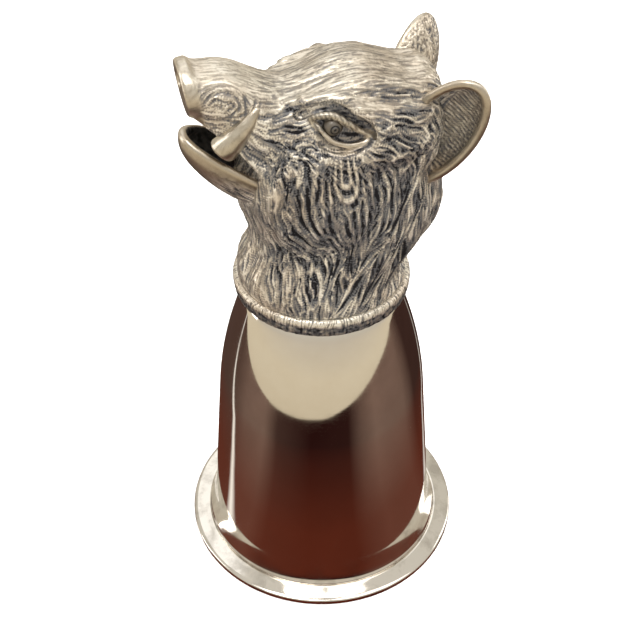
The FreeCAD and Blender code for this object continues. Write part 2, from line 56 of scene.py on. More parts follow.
def ellipsoid(x, f, z, centre, radii):
    u, v, w = x - centre[0], f - centre[1], z - centre[2]
    a, b, c = radii
    k0 = np.sqrt((u / a) ** 2 + (v / b) ** 2 + (w / c) ** 2) + 1e-6
    k1 = np.sqrt((u / a ** 2) ** 2 + (v / b ** 2) ** 2 + (w / c ** 2) ** 2) + 1e-6
    return k0 * (k0 - 1) / k1


def oval(u, v, a, b, power=2.0):
    """Distance to an oval of half sizes a and b, near enough"""
    p, q = np.abs(u / a), np.abs(v / b)
    k0 = (p ** power + q ** power) ** (1 / power) + 1e-6
    grad = np.sqrt((p ** (power - 1) / a) ** 2 + (q ** (power - 1) / b) ** 2) + 1e-9
    return (k0 - 1) / grad * k0 ** (power - 1)


def flowing(places, values, where):
    """Smooth curve through values at places, level beyond the ends"""
    places, values = np.asarray(places, float), np.asarray(values, float)
    slopes = np.gradient(values, places)
    t = np.clip(where, places[0], places[-1])
    i = np.clip(np.searchsorted(places, t) - 1, 0, len(places) - 2)
    span = places[i + 1] - places[i]
    t = (t - places[i]) / span
    return (values[i] * (2 * t ** 3 - 3 * t ** 2 + 1) + slopes[i] * span * (t ** 3 - 2 * t ** 2 + t)
            + values[i + 1] * (3 * t ** 2 - 2 * t ** 3) + slopes[i + 1] * span * (t ** 3 - t ** 2))


def eased(value, start, end):
    t = np.clip((value - start) / (end - start), 0, 1)
    return t * t * (3 - 2 * t)


def strand(x, f, z, points, radii, k=0.0):
    """Distance to a rounded strand through points, with a radius at each"""
    best = None
    for p, q, r, s in zip(points[:-1], points[1:], radii[:-1], radii[1:]):
        p, q = np.array(p, float), np.array(q, float)
        d = q - p
        u, v, w = x - p[0], f - p[1], z - p[2]
        t = np.clip((u * d[0] + v * d[1] + w * d[2]) / d.dot(d), 0, 1)
        dist = np.sqrt((u - t * d[0]) ** 2 + (v - t * d[1]) ** 2 + (w - t * d[2]) ** 2)
        dist = dist - (r + (s - r) * t)
        best = dist if best is None else (smooth_union(best, dist, k) if k else np.minimum(best, dist))
    return best


def curved(points, count):
    """More points on a smooth line through points"""
    points = np.array(points, float)
    at = np.arange(len(points))
    where = np.linspace(0, len(points) - 1, count)
    return np.stack([flowing(at, points[:, i], where) for i in range(points.shape[1])], 1)


def waves(turns):
    """A wave from 0 to 1, highest at whole turns"""
    return 0.5 + 0.5 * np.cos(2 * np.pi * turns)


def ridges(noise):
    """Thin ridges where noise crosses zero"""
    return 1 - np.minimum(np.abs(noise), 1.0)


def unit(ways, least=1e-9):
    return ways / (np.linalg.norm(ways, axis=1, keepdims=True) + least)


def grid(low, high, step):
    axes = [np.arange(a, b + step, step, dtype=np.float32) for a, b in zip(low, high)]
    return np.meshgrid(*axes, indexing="ij", sparse=True)


def surface_net(field, low, step):
    """Corners and quads on the zero level of a field on a regular grid"""
    shape = np.array(field.shape)
    cells = shape - 1
    ids, sums, quads = [], [], []
    for axis in range(3):
        head = [slice(None)] * 3
        tail = [slice(None)] * 3
        head[axis], tail[axis] = slice(0, -1), slice(1, None)
        a, b = field[tuple(head)], field[tuple(tail)]
        i, j, k = np.nonzero((a < 0) != (b < 0))
        at = np.stack([i, j, k], 1)
        va, vb = a[i, j, k], b[i, j, k]
        place = at.astype(float)
        place[:, axis] += va / (va - vb)
        others = [n for n in range(3) if n != axis]
        corner_ids = []
        for du, dv in ((0, 0), (1, 0), (1, 1), (0, 1)):
            cell = at.copy()
            cell[:, others[0]] -= du
            cell[:, others[1]] -= dv
            corner_ids.append((cell[:, 0] * cells[1] + cell[:, 1]) * cells[2] + cell[:, 2])
            ids.append(corner_ids[-1])
            sums.append(place)
        quad = np.stack(corner_ids, 1)
        flip = (va < 0) if axis != 1 else (va >= 0)
        quad[~flip] = quad[~flip][:, ::-1]
        quads.append(quad)
    ids, sums, quads = np.concatenate(ids), np.concatenate(sums), np.concatenate(quads)
    unique, where = np.unique(ids, return_inverse=True)
    count = np.bincount(where)
    points = np.stack([np.bincount(where, sums[:, n]) / count for n in range(3)], 1)
    quads = np.searchsorted(unique, quads)
    return points * step + np.array(low), quads


class Noise:
    """Seeded noise in three directions, smooth and of one scale"""

    def __init__(self, size=32):
        self.size = size
        slopes = RNG.standard_normal((size ** 3, 3)).astype(np.float32)
        self.slopes = slopes / np.linalg.norm(slopes, axis=1, keepdims=True)

    def __call__(self, p, cell):
        q = (p / cell).astype(np.float32)
        base = np.floor(q)
        t = q - base
        ease = t * t * t * (t * (t * 6 - 15) + 10)
        base = base.astype(np.int32) % self.size
        after = (base + 1) % self.size
        total = 0
        for dx in (0, 1):
            row = (after if dx else base)[:, 0] * self.size
            wx = ease[:, 0] if dx else 1 - ease[:, 0]
            for dy in (0, 1):
                line = (row + (after if dy else base)[:, 1]) * self.size
                wxy = wx * (ease[:, 1] if dy else 1 - ease[:, 1])
                for dz in (0, 1):
                    slope = self.slopes[line + (after if dz else base)[:, 2]]
                    reach = (slope[:, 0] * (t[:, 0] - dx) + slope[:, 1] * (t[:, 1] - dy)
                             + slope[:, 2] * (t[:, 2] - dz))
                    total = total + wxy * (ease[:, 2] if dz else 1 - ease[:, 2]) * reach
        return total * 2.6


NOISE = Noise()


def combed(p, flow, cell, reach, step=0.8):
    """Noise averaged along the flow, so that it runs in strands"""
    total, weight = NOISE(p, cell), 1.0
    for sign in (1, -1):
        q = p.copy()
        for n in range(int(reach / step)):
            q = q + sign * step * flow(q)
            w = 0.5 + 0.5 * math.cos(math.pi * (n + 1) * step / reach)
            total = total + w * NOISE(q, cell)
            weight += w
    total = total / weight
    return total / total.std()


def evened(values, p, cell=6.0):
    """Values brought to the same strength from place to place"""
    power = 0
    for shift in (0.0, 1.5, 3.0, 4.5):
        box = np.floor((p + shift) / cell).astype(np.int64) + 1000
        unique, where = np.unique((box[:, 0] * 4096 + box[:, 1]) * 4096 + box[:, 2], return_inverse=True)
        power = power + (np.bincount(where, values ** 2) / np.bincount(where))[where] / 4
    return values / np.sqrt(power + 0.02)


# The head's form
# Places, middles and half sizes of the neck's sections by height, and of the head's by place ahead
NECK_Z = [
    101.8, 104, 106, 108.3, 110.5, 113, 115, 117.3, 120, 124, 128.3, 132, 136, 139.8, 144, 148, 152.7]
NECK_AHEAD = [
    0, 0.9, 0.9, 0, -1.5, -3.3, -4.5, -5.5, -6.1, -6.1, -5.5, -4.8, -4.3, -4.5, -5.8, -7.6, -8]
NECK_LONG = [
    23.8, 23.0, 22.6, 22.6, 23.0, 23.7, 24.4, 25.3, 26.2, 27.3, 28, 28.2, 27.9, 27, 25.3, 23, 20]
NECK_WIDE = [
    23.8, 23.6, 23.2, 22.6, 21.9, 21.2, 20.8, 20.5, 20.3, 20.4, 20.5, 20.5, 20.2, 19.5, 18, 16.3, 15]
HEAD_F = [
    -32, -30.9, -29.5, -28, -26, -23, -20, -17, -14, -11, -8, -4, -0.5, 3, 7, 10.5, 14, 18, 22, 25.5, 29,
    31.5, 33.5]
HEAD_WIDE = [
    4, 7.5, 10.8, 13.2, 15, 16.5, 17.7, 18.7, 19.5, 20, 20.2, 20.1, 19.5, 18.5, 17, 15.5, 14, 12.3, 10.8,
    9.8, 9, 8.6, 8.6]
HEAD_TOP = [
    154, 158, 161.2, 163, 163.9, 163.9, 164.3, 165.3, 166.4, 167.3, 167.6, 167.3, 166.4, 165.1, 163.8,
    163.3, 164.1, 166.1, 168.3, 169.5, 169.8, 169.9, 170.6]
HEAD_UNDER = [
    141, 139, 136.8, 135.5, 134.6, 133.8, 132.6, 131.2, 129.9, 128.8, 128.2, 128.1, 128.8, 130.2, 132.4,
    134.8, 137.4, 140.8, 144.8, 148.9, 153.3, 156.4, 158.2]
FOOT_Z = 101.8
DISC = np.array((0, 34.1, 164.65))
DISC_TILT = math.radians(6)
NOSTRIL_BESIDE = 3.9
EYE = (14.4, 1.0, 156.8)
EYE_RADIUS = 2.6
LOCK_RISE = 0.45
NECK_LOCKS, SKULL_LOCKS, JOWL_LOCKS = 14, 12, 10


def disc_axes(x, f, z):
    """Place on the snout disc: beside, up, and out of its face"""
    c, s = math.cos(DISC_TILT), math.sin(DISC_TILT)
    ahead, up = f - DISC[1], z - DISC[2]
    return x, up * c + ahead * s, ahead * c - up * s


def swell(u, v, count):
    """Rise of the main locks round an oval, at the place (u, v) of its turn"""
    return LOCK_RISE * np.cos(count * np.arctan2(v, u))


# Lines on the left side: the brow's ledge, the lids, the groove over them and the lip
EYE_COUNT, LIP_COUNT = 18, 14
LEDGE = curved([(8.6, 9.6, 160.6), (10.4, 4.5, 161.8), (11.9, -0.5, 162.2), (14.2, -4.5, 161.0),
                (16.2, -8.0, 158.2), (17.6, -10.8, 155.4)], EYE_COUNT)
LEDGE_RADII = np.linspace(1.5, 2.0, EYE_COUNT)
UPPER_LID = curved([(13.4, 6.4, 159.0), (14.6, 4.4, 160.1), (15.4, 1.2, 160.1), (16.2, -2.2, 157.9),
                    (16.5, -5.0, 155.8), (16.6, -9.0, 153.4)], EYE_COUNT)
LOWER_LID = curved([(13.6, 6.2, 158.4), (15.4, 4.2, 156.6), (16.4, 1.7, 153.6), (16.9, -2.7, 151.9),
                    (17.0, -6.6, 152.4), (16.6, -9.0, 153.4)], EYE_COUNT)
GROOVE = curved([(11.4, 8.6, 159.0), (12.8, 5.0, 161.0), (13.2, 0.8, 161.4), (14.6, -3.2, 159.7),
                 (16.4, -6.4, 157.0), (17.8, -9.6, 154.2)], EYE_COUNT)
LIP = curved([(6.8, 32.4, 159.6), (7.7, 29, 156.2), (8.3, 25, 152.4), (9.6, 21.8, 148.9),
              (11.6, 18.8, 145.4), (12.8, 17.0, 143.4)], LIP_COUNT)
# Lumps on the ledge, as places and sizes
LUMPS = (((9.8, 6.6, 161.9), (1.7, 2.0, 1.4)), ((12.9, -2.8, 162.6), (1.8, 2.0, 1.5)))
JOWL, JOWL_SIZE = (11.5, 1, 136.3), (11, 19, 20)


def lids(a, f, z):
    """Distance to the eyelids, the upper one thicker"""
    share = np.sin(np.linspace(0.25, 2.9, EYE_COUNT))
    upper = strand(a, f, z, UPPER_LID, 0.42 + 0.62 * share)
    return np.minimum(upper, strand(a, f, z, LOWER_LID, 0.36 + 0.36 * share))


def head_field(x, f, z):
    """Distance to the head's outside, below zero inside"""
    a = np.abs(x)
    ahead = f - flowing(NECK_Z, NECK_AHEAD, z)
    long, wide = flowing(NECK_Z, NECK_LONG, z), flowing(NECK_Z, NECK_WIDE, z)
    locks = swell(ahead / long, x / wide, NECK_LOCKS) * eased(z, FOOT_Z, 108.3)
    neck = oval(ahead, x, long, wide) - locks
    neck = -smooth_union(-neck, -(z - 153), 2.0)
    top, under = flowing(HEAD_F, HEAD_TOP, f), flowing(HEAD_F, HEAD_UNDER, f)
    up, tall, wide = z - (top + under) / 2, (top - under) / 2, flowing(HEAD_F, HEAD_WIDE, f)
    head = oval(x, up, wide, tall, 2.05 + 0.6 * eased(f, 12, 22))
    locks = swell(x / wide, up / tall, SKULL_LOCKS)
    head = head - locks * eased(f, -31, -23) * (1 - eased(f, -0.5, 10.5))
    head = -smooth_union(-head, -(-31.2 - f), 1.5)
    head = -smooth_union(-head, -(f - 34.0), 1.0)
    (beside, front, height), (wide, long, tall) = JOWL, JOWL_SIZE
    jowl = ellipsoid(a, f, z, JOWL, JOWL_SIZE)
    level = np.sqrt(np.clip(1 - ((z - height) / tall) ** 2, 0, 1))
    jowl = jowl - swell((f - front) / long, (a - beside) / wide, JOWL_LOCKS) * level
    body = smooth_union(neck, head, 2.0)
    body = smooth_union(body, jowl, 1.5)
    # lip along the mouth, and the fold behind its corner
    body = smooth_union(body, strand(a, f, z, LIP, np.linspace(0.9, 1.5, LIP_COUNT)), 1.4)
    # brow ledge over the eye, the hollow under it, and the lids
    body = smooth_union(body, strand(a, f, z, LEDGE, LEDGE_RADII), 2.2)
    socket = ellipsoid(a, f, z, (18.8, -0.6, 155.6), (5.0, 8.2, 5.2))
    body = smooth_cut(body, socket, 0.7)
    body = smooth_cut(body, strand(a, f, z, GROOVE, np.full(EYE_COUNT, 1.25)), 0.5)
    body = smooth_union(body, lids(a, f, z), 0.35)
    ball = np.sqrt((a - EYE[0]) ** 2 + (f - EYE[1]) ** 2 + (z - EYE[2]) ** 2) - EYE_RADIUS - 0.05
    body = np.maximum(body, -ball)
    for place, size in LUMPS:
        body = smooth_union(body, ellipsoid(a, f, z, place, size), 0.8)
    # snout disc, dished, with a rolled edge and two nostrils
    u, v, w = disc_axes(x, f, z)
    rim = oval(u, v, 8.8, 6.9)
    disc = -smooth_union(-rim, -(np.abs(w) - 1.6), 1.1)
    body = smooth_union(body, disc, 0.9)
    dish = ellipsoid(u, v, w, (0, 0, 3.0), (7.4, 5.6, 1.9))
    body = smooth_cut(body, dish, 0.5)
    for side in (-1, 1):
        lean = 0.25 * (u * side - NOSTRIL_BESIDE)
        nostril = ellipsoid(u - side * NOSTRIL_BESIDE, v - 0.4 + lean, w, (0, 0, 1.2), (1.7, 2.2, 3.0))
        body = smooth_cut(body, nostril, 0.5)
    return body


# Direction of the hair at places on the left side, read as (beside, ahead, up) and
# (ahead, up) of the way it lies
COMB = np.array([
    (12.2, 16.2, 156.7, -1, -0.05), (13.7, 9.1, 156.4, -1, 0.12), (9.1, 9.8, 159.6, -1, 0.3),
    (15.8, 8, 152.6, -1, -0.2), (14.7, 13.2, 150.5, -1, -0.35), (12.4, 18, 152.6, -0.8, -0.7),
    (12, 20, 146.5, -0.6, -0.9), (15, 17, 143.5, -0.35, -1), (14.8, 18.6, 139.5, -0.2, -1),
    (16.4, 17.8, 136, -0.05, -1), (18.4, 13.4, 144, 0, -1), (19, 11.2, 147, -0.05, -1),
    (19.5, 13.4, 139, -0.1, -1), (18.8, 14, 131.5, -0.45, -1), (21, 7.6, 142, -0.05, -1),
    (20.8, 8, 134, -0.35, -1), (21.8, 4.4, 138, -0.2, -1), (21.3, 3, 129.5, -0.7, -0.8),
    (20, 7, 126, -0.85, -0.6), (22, -4, 131.5, -0.1, -1), (21, -3, 124, -0.3, -1),
    (19.9, -9.5, 147.5, -0.6, -1), (19.3, -12.8, 141.5, -0.25, -1), (18.8, -15.5, 134.5, 0.1, -1),
    (19.2, -13.6, 129, 0.5, -1), (20, -9.8, 123.5, 0.9, -0.6), (21.4, -5, 148.5, -0.25, -1),
    (9.7, 16.8, 117.8, -0.1, -1), (13, 13.5, 115, -0.3, -1), (16.5, 10.3, 112.5, -0.1, -1),
    (19, 6, 113, -0.2, -1), (20.8, 1, 113, 0.2, -1), (21.3, -2.1, 113.5, 0.3, -1),
    (20.8, -7, 113, 0.5, -1), (20, -11, 115.5, 0.4, -1), (18.4, -15, 118, 0.3, -1),
    (17.5, -17.5, 122, 0.2, -1), (16.5, -20.5, 128, 0.15, -1), (15, -22.5, 136, 0.1, -1),
    (17, 9, 106.5, -0.2, -1), (22, 0, 106, 0.6, -1), (19, -10, 106, 0.8, -1),
    (7.2, 22.2, 106.7, -0.3, -1), (15.1, -16, 158.8, -1, -0.1), (16.8, -13.5, 157, -1, -0.25),
    (19.1, -12.4, 153.2, -0.9, -0.5), (18.4, -17, 150, -0.7, -0.8), (19.2, -9.4, 151.5, -1, -0.15),
    (13, -10, 162.8, -1, -0.05), (18, 4.5, 151.6, -0.75, -0.4), (19.2, -0.5, 151, -0.95, -0.1),
    (19, -5, 151.5, -1, 0.1), (6, 5, 164, -1, 0), (6, -8, 166.5, -1, 0),
    (4, 16, 165, -1, 0), (5, 26, 168.6, -1, 0), (6, -22, 162, -1, -0.3),
    (5, -29, 150, -0.2, -1), (8, -28, 138, 0.1, -1), (6, -30, 125, 0.1, -1),
    (4, -28, 112, 0.1, -1), (4, 20, 128, -0.2, -1), (4, 22, 136, -0.2, -1),
    (6, 24, 158, -1, -0.1), (9, 24.5, 153, -0.9, -0.5),
])
SWIRL = (28.0, 162.8)
HAIR_DEPTH = 0.62


def along_surface(n):
    """Hair direction laid into the surface that has normals n"""
    def flow(q):
        way = hair_flow(q)
        return unit(way - n * (way * n).sum(1, keepdims=True), 1e-6)
    return flow


def swirl_side(u, v):
    """One on the upper and rear side of the swirl, where its arcs run"""
    return eased((0.87 * v - 0.5 * u) / (np.sqrt(u * u + v * v) + 1e-6), -0.45, 0.15)


def hair_flow(p):
    """Unit direction of the hair at places (beside, ahead, up)"""
    q = p.copy()
    q[:, 0] = np.abs(q[:, 0])
    way = np.zeros((len(q), 2))
    for x, f, z, df, dz in COMB:
        n = math.hypot(df, dz)
        w = np.exp(-((q[:, 0] - x) ** 2 * 0.4 + (q[:, 1] - f) ** 2 + (q[:, 2] - z) ** 2) / 22.0) + 1e-9
        way[:, 0] += w * df / n
        way[:, 1] += w * dz / n
    way = unit(way)
    wave = 0.30 * np.sin(q[:, 1] * 0.85 + q[:, 2] * 0.55)
    cross = np.stack([-way[:, 1], way[:, 0]], 1)
    calm = np.clip((q[:, 2] - 160) / 4, 0, 1)
    way += cross * (wave * (1 - calm))[:, None]
    # the swirl of hair on the side of the muzzle
    u, v = q[:, 1] - SWIRL[0], q[:, 2] - SWIRL[1]
    r = np.sqrt(u * u + v * v) + 1e-6
    inside = np.clip((10.5 - r) / 4, 0, 1) * np.clip((q[:, 0] - 2.5) / 2.5, 0, 1) * swirl_side(u, v)
    turn = np.stack([v / r, -u / r], 1)
    turn *= np.sign((turn * way).sum(1) + 1e-9)[:, None]
    way = way * (1 - inside)[:, None] + turn * inside[:, None]
    full = np.zeros_like(p)
    full[:, 1:] = way
    return unit(full)


def on_disc(p):
    """One on the snout disc"""
    out = disc_axes(*p.T)[2]
    return eased(out, -2.6, -1.4) * eased(p[:, 1], 30, 32)


def eye_reach(a, f, z):
    """Share of the way from the eye's middle to the edge of its slanting hollow"""
    ahead, up = f + 1.4, z - 156.2
    along, across = ahead * 0.90 + up * 0.43, up * 0.90 - ahead * 0.43
    return np.sqrt((along / 9.6) ** 2 + (across / 5.6) ** 2 + ((a - 15.5) / 7.0) ** 2)


def hair_depths(p, n):
    """How deep the hair is cut at places with normals n, and how fine it is"""
    a, f, z = np.abs(p[:, 0]), p[:, 1], p[:, 2]
    depth = np.full(len(p), HAIR_DEPTH)
    crown = eased(n[:, 2], 0.45, 0.85) * eased(z, 156, 161)
    depth *= 1 - 0.78 * crown
    muzzle = eased(f, 14, 20)
    depth *= 1 - 0.35 * muzzle
    depth *= 1 - on_disc(p)
    depth *= 0.15 + 0.85 * eased(eye_reach(a, f, z), 0.9, 1.35)
    depth *= 1 - 0.35 * eased(z, 112, 104)
    depth *= 1 - 0.3 * eased(-f, 18, 26)
    mouth = eased(-n[:, 2], 0.3, 0.8) * eased(f, 14, 20) * eased(z, 138, 143)
    depth *= 1 - 0.8 * mouth
    return depth, crown, muzzle


def mesh_object(name, points, faces, smooth=True):
    mesh = bpy.data.meshes.new(name)
    mesh.from_pydata([tuple(p) for p in points], [], [tuple(int(i) for i in face) for face in faces])
    mesh.update()
    if smooth:
        mesh.polygons.foreach_set("use_smooth", [True] * len(mesh.polygons))
    made = bpy.data.objects.new(name, mesh)
    bpy.context.scene.collection.objects.link(made)
    return made


def to_part(points):
    """Head coordinates to the part's own, in metres"""
    return np.array(points, float) * (1, -1, 1) * MM


def set_value(made, name, values):
    layer = made.data.attributes.new(name, "FLOAT", "POINT")
    layer.data.foreach_set("value", np.asarray(values, np.float32))


def normals_of(field, points, step=0.15):
    """Outward directions of a field at points"""
    p = np.asarray(points, np.float32)
    out = np.zeros(p.shape)
    for axis in range(3):
        d = np.zeros(3, np.float32)
        d[axis] = step
        out[:, axis] = field(*(p + d).T) - field(*(p - d).T)
    return unit(out)


def set_flow(made, way):
    """The way of the hair at each corner in head coordinates, shorter where there is less hair"""
    layer = made.data.attributes.new("flow", "FLOAT_VECTOR", "POINT")
    layer.data.foreach_set("vector", (way * (1, -1, 1)).astype(np.float32).ravel())


def sculpted(name, field, low, high, step, relief=None, flow=None, foot=None):
    """A piece on a field's zero level and over its foot, with relief that gives rise and cavity"""
    x, f, z = grid(low, high, step)
    values = np.asarray(field(x, f, z), np.float32)
    if foot is not None:
        values = np.maximum(values, (foot - z).astype(np.float32))
    points, quads = surface_net(values, low, step)
    cavity = np.full(len(points), 0.8)
    n = normals_of(field, points)
    if relief is not None:
        rise, cavity = relief(points, n)
        points = points + n * rise[:, None]
    # a mirrored axis turns the faces over
    made = mesh_object(name, to_part(points), quads[:, ::-1])
    set_value(made, "cavity", cavity)
    if flow is not None:
        set_flow(made, flow(points, n))
    return made


# The cheek's long strands, by height: where their middle line runs and how wide they spread
CHEEK_Z = [118, 121, 126, 132, 140, 146, 151, 154]
CHEEK_MIDDLE = [-5.5, -4.4, -3.0, -1.8, -0.9, -0.6, -0.6, -0.6]
CHEEK_SPREAD = [0.42, 0.50, 0.74, 0.94, 1.0, 0.86, 0.62, 0.5]


def cheek_strands(p, n):
    """Height of the cheek's long strands, with loops in their middle, and where they lie"""
    a, f, z = np.abs(p[:, 0]), p[:, 1], p[:, 2]
    spread = flowing(CHEEK_Z, CHEEK_SPREAD, z)
    across = (f - flowing(CHEEK_Z, CHEEK_MIDDLE, z)) / spread + 0.10 * NOISE(p, 4.0)
    drop = np.maximum(145.5 - z, 0) / 2.1
    ring = np.sqrt(across ** 2 + drop ** 2)
    across = across + 0.20 * NOISE(p + 3, 3.5)
    stripes = waves(across / 2.25)
    broken = 0.75 + 0.25 * np.clip(1.5 * NOISE(p * (1, 1, 0.35) + 60, 2.6), -1, 1)
    loops = waves((ring - 1.2) / 1.9)
    loop = 1 - eased(ring, 4.6, 5.0)
    strands = (stripes * broken * (1 - loop) + loops * loop) ** 1.25
    reach = np.abs(across + 0.5) + 1.6 * NOISE(p + 77, 3.0)
    low = 120.5 + 0.035 * across ** 2 + 1.2 * NOISE(p + 55, 3.0)
    high = 150.8 - 0.035 * across ** 2 - 0.10 * across
    there = (1 - eased(reach, 13.5, 15.5)) * eased(z, low, low + 2.0)
    there = there * (1 - eased(z, high - 0.6, high + 0.6))
    return strands, there * eased(a, 11.5, 13.5) * eased(np.abs(n[:, 0]), 0.25, 0.45)


def head_relief(p, n):
    """Thin raised strands with broad dark hollows between them"""
    depth, crown, muzzle = hair_depths(p, n)
    a, f, z = np.abs(p[:, 0]), p[:, 1], p[:, 2]
    flow = along_surface(n)
    locks = 1 - np.minimum(np.abs(evened(combed(p, flow, 2.0, 14.0), p)), 1.0) ** 0.95
    fine = ridges(evened(combed(p + 31.7, lambda q: flow(q - 31.7), 1.3, 8.0), p))
    strands, cheek = cheek_strands(p, n)
    locks = locks * (1 - cheek) + strands * cheek
    # arcs of hair on the side of the muzzle
    u, v = f - SWIRL[0], z - SWIRL[1]
    r = np.sqrt((u * 0.72 + v * 0.25) ** 2 + v ** 2)
    arcs = waves(r / 1.35 + 0.35 * NOISE(p + 9, 3.2))
    swirl = (1 - eased(r, 6.5, 9.0)) * eased(a, 4.0, 6.0) * eased(r, 0.6, 1.4)
    swirl = swirl * swirl_side(u, v)
    locks = locks * (1 - swirl) + arcs * swirl
    fine = fine * (1 - 0.8 * swirl)
    mix = np.clip(0.15 + 0.65 * crown, 0, 0.9)
    height = np.maximum(locks, 0.50 * fine ** 1.5) * (1 - mix) + fine * mix
    rise = (height - 0.42) * depth * 1.35
    dark = np.clip(depth / HAIR_DEPTH, 0.10, 1) ** 0.6
    cavity = 1 - (1 - height) * dark * (1 - 0.2 * muzzle)
    on_ledge = (1 - eased(strand(a, f, z, LEDGE, LEDGE_RADII), 0.1, 0.6)) * eased(z, 157, 159)
    cavity = cavity + (0.80 - cavity) * 0.6 * on_ledge
    # painted shade darkens the hollow round the eye; its lids are rubbed bright, with lashes across them
    hollow = 1 - eased(eye_reach(a, f, z), 0.80, 1.02)
    on_lid = 1 - eased(lids(a, f, z), 0.10, 0.45)
    lashes = waves((f - 0.45 * z) / 1.15)
    lid = 0.95 - 0.45 * lashes * (z > 156)
    cavity = cavity * (1 - hollow) + (0.26 + 0.2 * NOISE(p + 4, 1.4)) * hollow
    cavity = cavity * (1 - on_lid) + lid * on_lid
    return rise * eased(z, 101.9, 103.5), cavity


def head_flow(p, n):
    """The way of the fine hair: none on the snout disc and the lids, less on the crown"""
    share = 1 - 0.45 * hair_depths(p, n)[1]
    share *= 1 - 0.9 * on_disc(p)
    share *= 1 - 0.8 * (1 - eased(lids(np.abs(p[:, 0]), p[:, 1], p[:, 2]), 0.10, 0.45))
    return along_surface(n)(p) * share[:, None]


# Ears, tusks, jaw, eyes
def turned_axes(centre, along, opening):
    """Places along, across and out of a hollow piece, from head coordinates"""
    along, opening = np.array(along, float), np.array(opening, float)
    along /= np.linalg.norm(along)
    opening -= along * along.dot(opening)
    opening /= np.linalg.norm(opening)
    across = np.cross(opening, along)
    centre = np.array(centre, float)

    def local(x, f, z):
        u, v, w = x - centre[0], f - centre[1], z - centre[2]
        return [u * d[0] + v * d[1] + w * d[2] for d in (along, across, opening)]
    return local


EAR_PITCH, EAR_SPREAD, EAR_TURN = math.radians(58), math.radians(37), math.radians(32)
EAR_LEVEL = math.cos(EAR_PITCH)
EAR_ALONG = (EAR_LEVEL * math.sin(EAR_SPREAD), -EAR_LEVEL * math.cos(EAR_SPREAD), math.sin(EAR_PITCH))
EAR_OPENING = (math.cos(EAR_TURN), math.sin(EAR_TURN), 0)
EAR_AXES = turned_axes((13.8, -26.4, 148.6), EAR_ALONG, EAR_OPENING)
EAR_HOLLOW = (17.6, 7.8, 5.4)
HOLLOW_CENTRE = (0, 0, 0.3)


def hollow_form(a, b, c, outer, inner, rim, soften):
    """Half of a thin egg shell, open upwards, with a rolled rim (half sizes, depth, radius)"""
    outside, inside = ellipsoid(a, b, c, (0, 0, 0), outer), ellipsoid(a, b, c, HOLLOW_CENTRE, inner)
    shell = smooth_cut(outside, inside, soften[0])
    shell = -smooth_union(-shell, -c, soften[1])
    long, wide, depth, radius = rim
    return smooth_union(shell, np.sqrt(oval(a, b, long, wide) ** 2 + (c + depth) ** 2) - radius, soften[2])


def off_head(form, x, f, z, overlap):
    """The form without what lies deeper than overlap in the head"""
    return np.maximum(form, -(head_field(x, f, z) + overlap))


def ear_field(x, f, z):
    rim = (18.4, 8.6, 0.6, 1.05)
    form = hollow_form(*EAR_AXES(x, f, z), (19.5, 9.6, 7.0), EAR_HOLLOW, rim, (0.8, 0.9, 0.8))
    return off_head(form, x, f, z, 0.7)


def ear_relief(p, n):
    """Fine soft ribs across the ear's hollow, streaks at its root and hair on its back"""
    a, b, c = EAR_AXES(*p.T)
    own = np.stack([a, b, c], 1)
    inside = ellipsoid(a, b, c, HOLLOW_CENTRE, EAR_HOLLOW) < 0.35
    wave = 0.30 * NOISE(own * (0.5, 1.0, 1.0) + 90, 2.4) + 0.12 * np.sin(b * 1.5)
    ribs = waves((a - 0.045 * (b - 2) ** 2) / 1.15 + wave)
    streaks = ridges(NOISE(own * (0.25, 1.0, 1.0) + 20, 0.9))
    root = eased(-b, 1.5, 4.0)
    ribs = ribs * (1 - root) + streaks * root
    lines = ridges(NOISE(own * (0.16, 1.15, 1.15) + 40, 1.0))
    edge = eased(c, -2.0, -0.8)
    height = np.where(inside, ribs, lines)
    tone = np.where(inside, 0.36 + 0.50 * ribs - 0.12 * root, 0.34 + 0.6 * lines)
    return (height - 0.5) * 0.30 * (1 - 0.9 * edge), tone * (1 - edge) + 0.86 * edge


def ear_flow(p, n):
    """Hair across the ear's hollow and along its back, none on its edge"""
    a, b, c = EAR_AXES(*p.T)
    inside = ellipsoid(a, b, c, HOLLOW_CENTRE, EAR_HOLLOW) < 0.35
    across = np.cross(EAR_OPENING, EAR_ALONG)
    across = across / np.linalg.norm(across)
    share = 1 - eased(c, -2.0, -0.8)
    way = np.where((inside & (b > -2.5))[:, None], 0.6 * across, 0.9 * np.array(EAR_ALONG))
    return way * share[:, None]


JAW_PITCH = math.radians(33)
JAW_ALONG = (0, math.cos(JAW_PITCH), math.sin(JAW_PITCH))
JAW_OPENING = (0, -math.sin(JAW_PITCH), math.cos(JAW_PITCH))
JAW_AXES = turned_axes((0, 14.8, 137.8), JAW_ALONG, JAW_OPENING)
JAW_HOLLOW = (24.0, 10.0, 8.8)


def jaw_field(x, f, z):
    rim = (24.9, 10.9, 0.5, 0.95)
    form = hollow_form(*JAW_AXES(x, f, z), (26, 12, 10.5), JAW_HOLLOW, rim, (0.6, 0.8, 0.7))
    return off_head(form, x, f, z, 0.7)


def jaw_hair(p):
    """Where the jaw's outside is, and the share of hair on its underside, towards the throat"""
    a, b, c = JAW_AXES(*p.T)
    outside = ellipsoid(a, b, c, HOLLOW_CENTRE, JAW_HOLLOW) > 0.5
    return outside, outside * eased(-c, 1.0, 4.5) * (1 - eased(a + 0.8 * NOISE(p, 3.0), 8, 19))


def jaw_relief(p, n):
    a, b, c = JAW_AXES(*p.T)
    outside, hairy = jaw_hair(p)
    lines = ridges(NOISE(np.stack([a * 0.16, b * 0.9, c * 0.9], 1) + 11, 1.0))
    tone = np.where(outside, 0.84 - 0.62 * (1 - lines) * hairy, 0.10 + 0.22 * lines)
    return (lines - 0.6) * 0.45 * hairy, tone


def jaw_flow(p, n):
    return jaw_hair(p)[1][:, None] * np.array(JAW_ALONG)


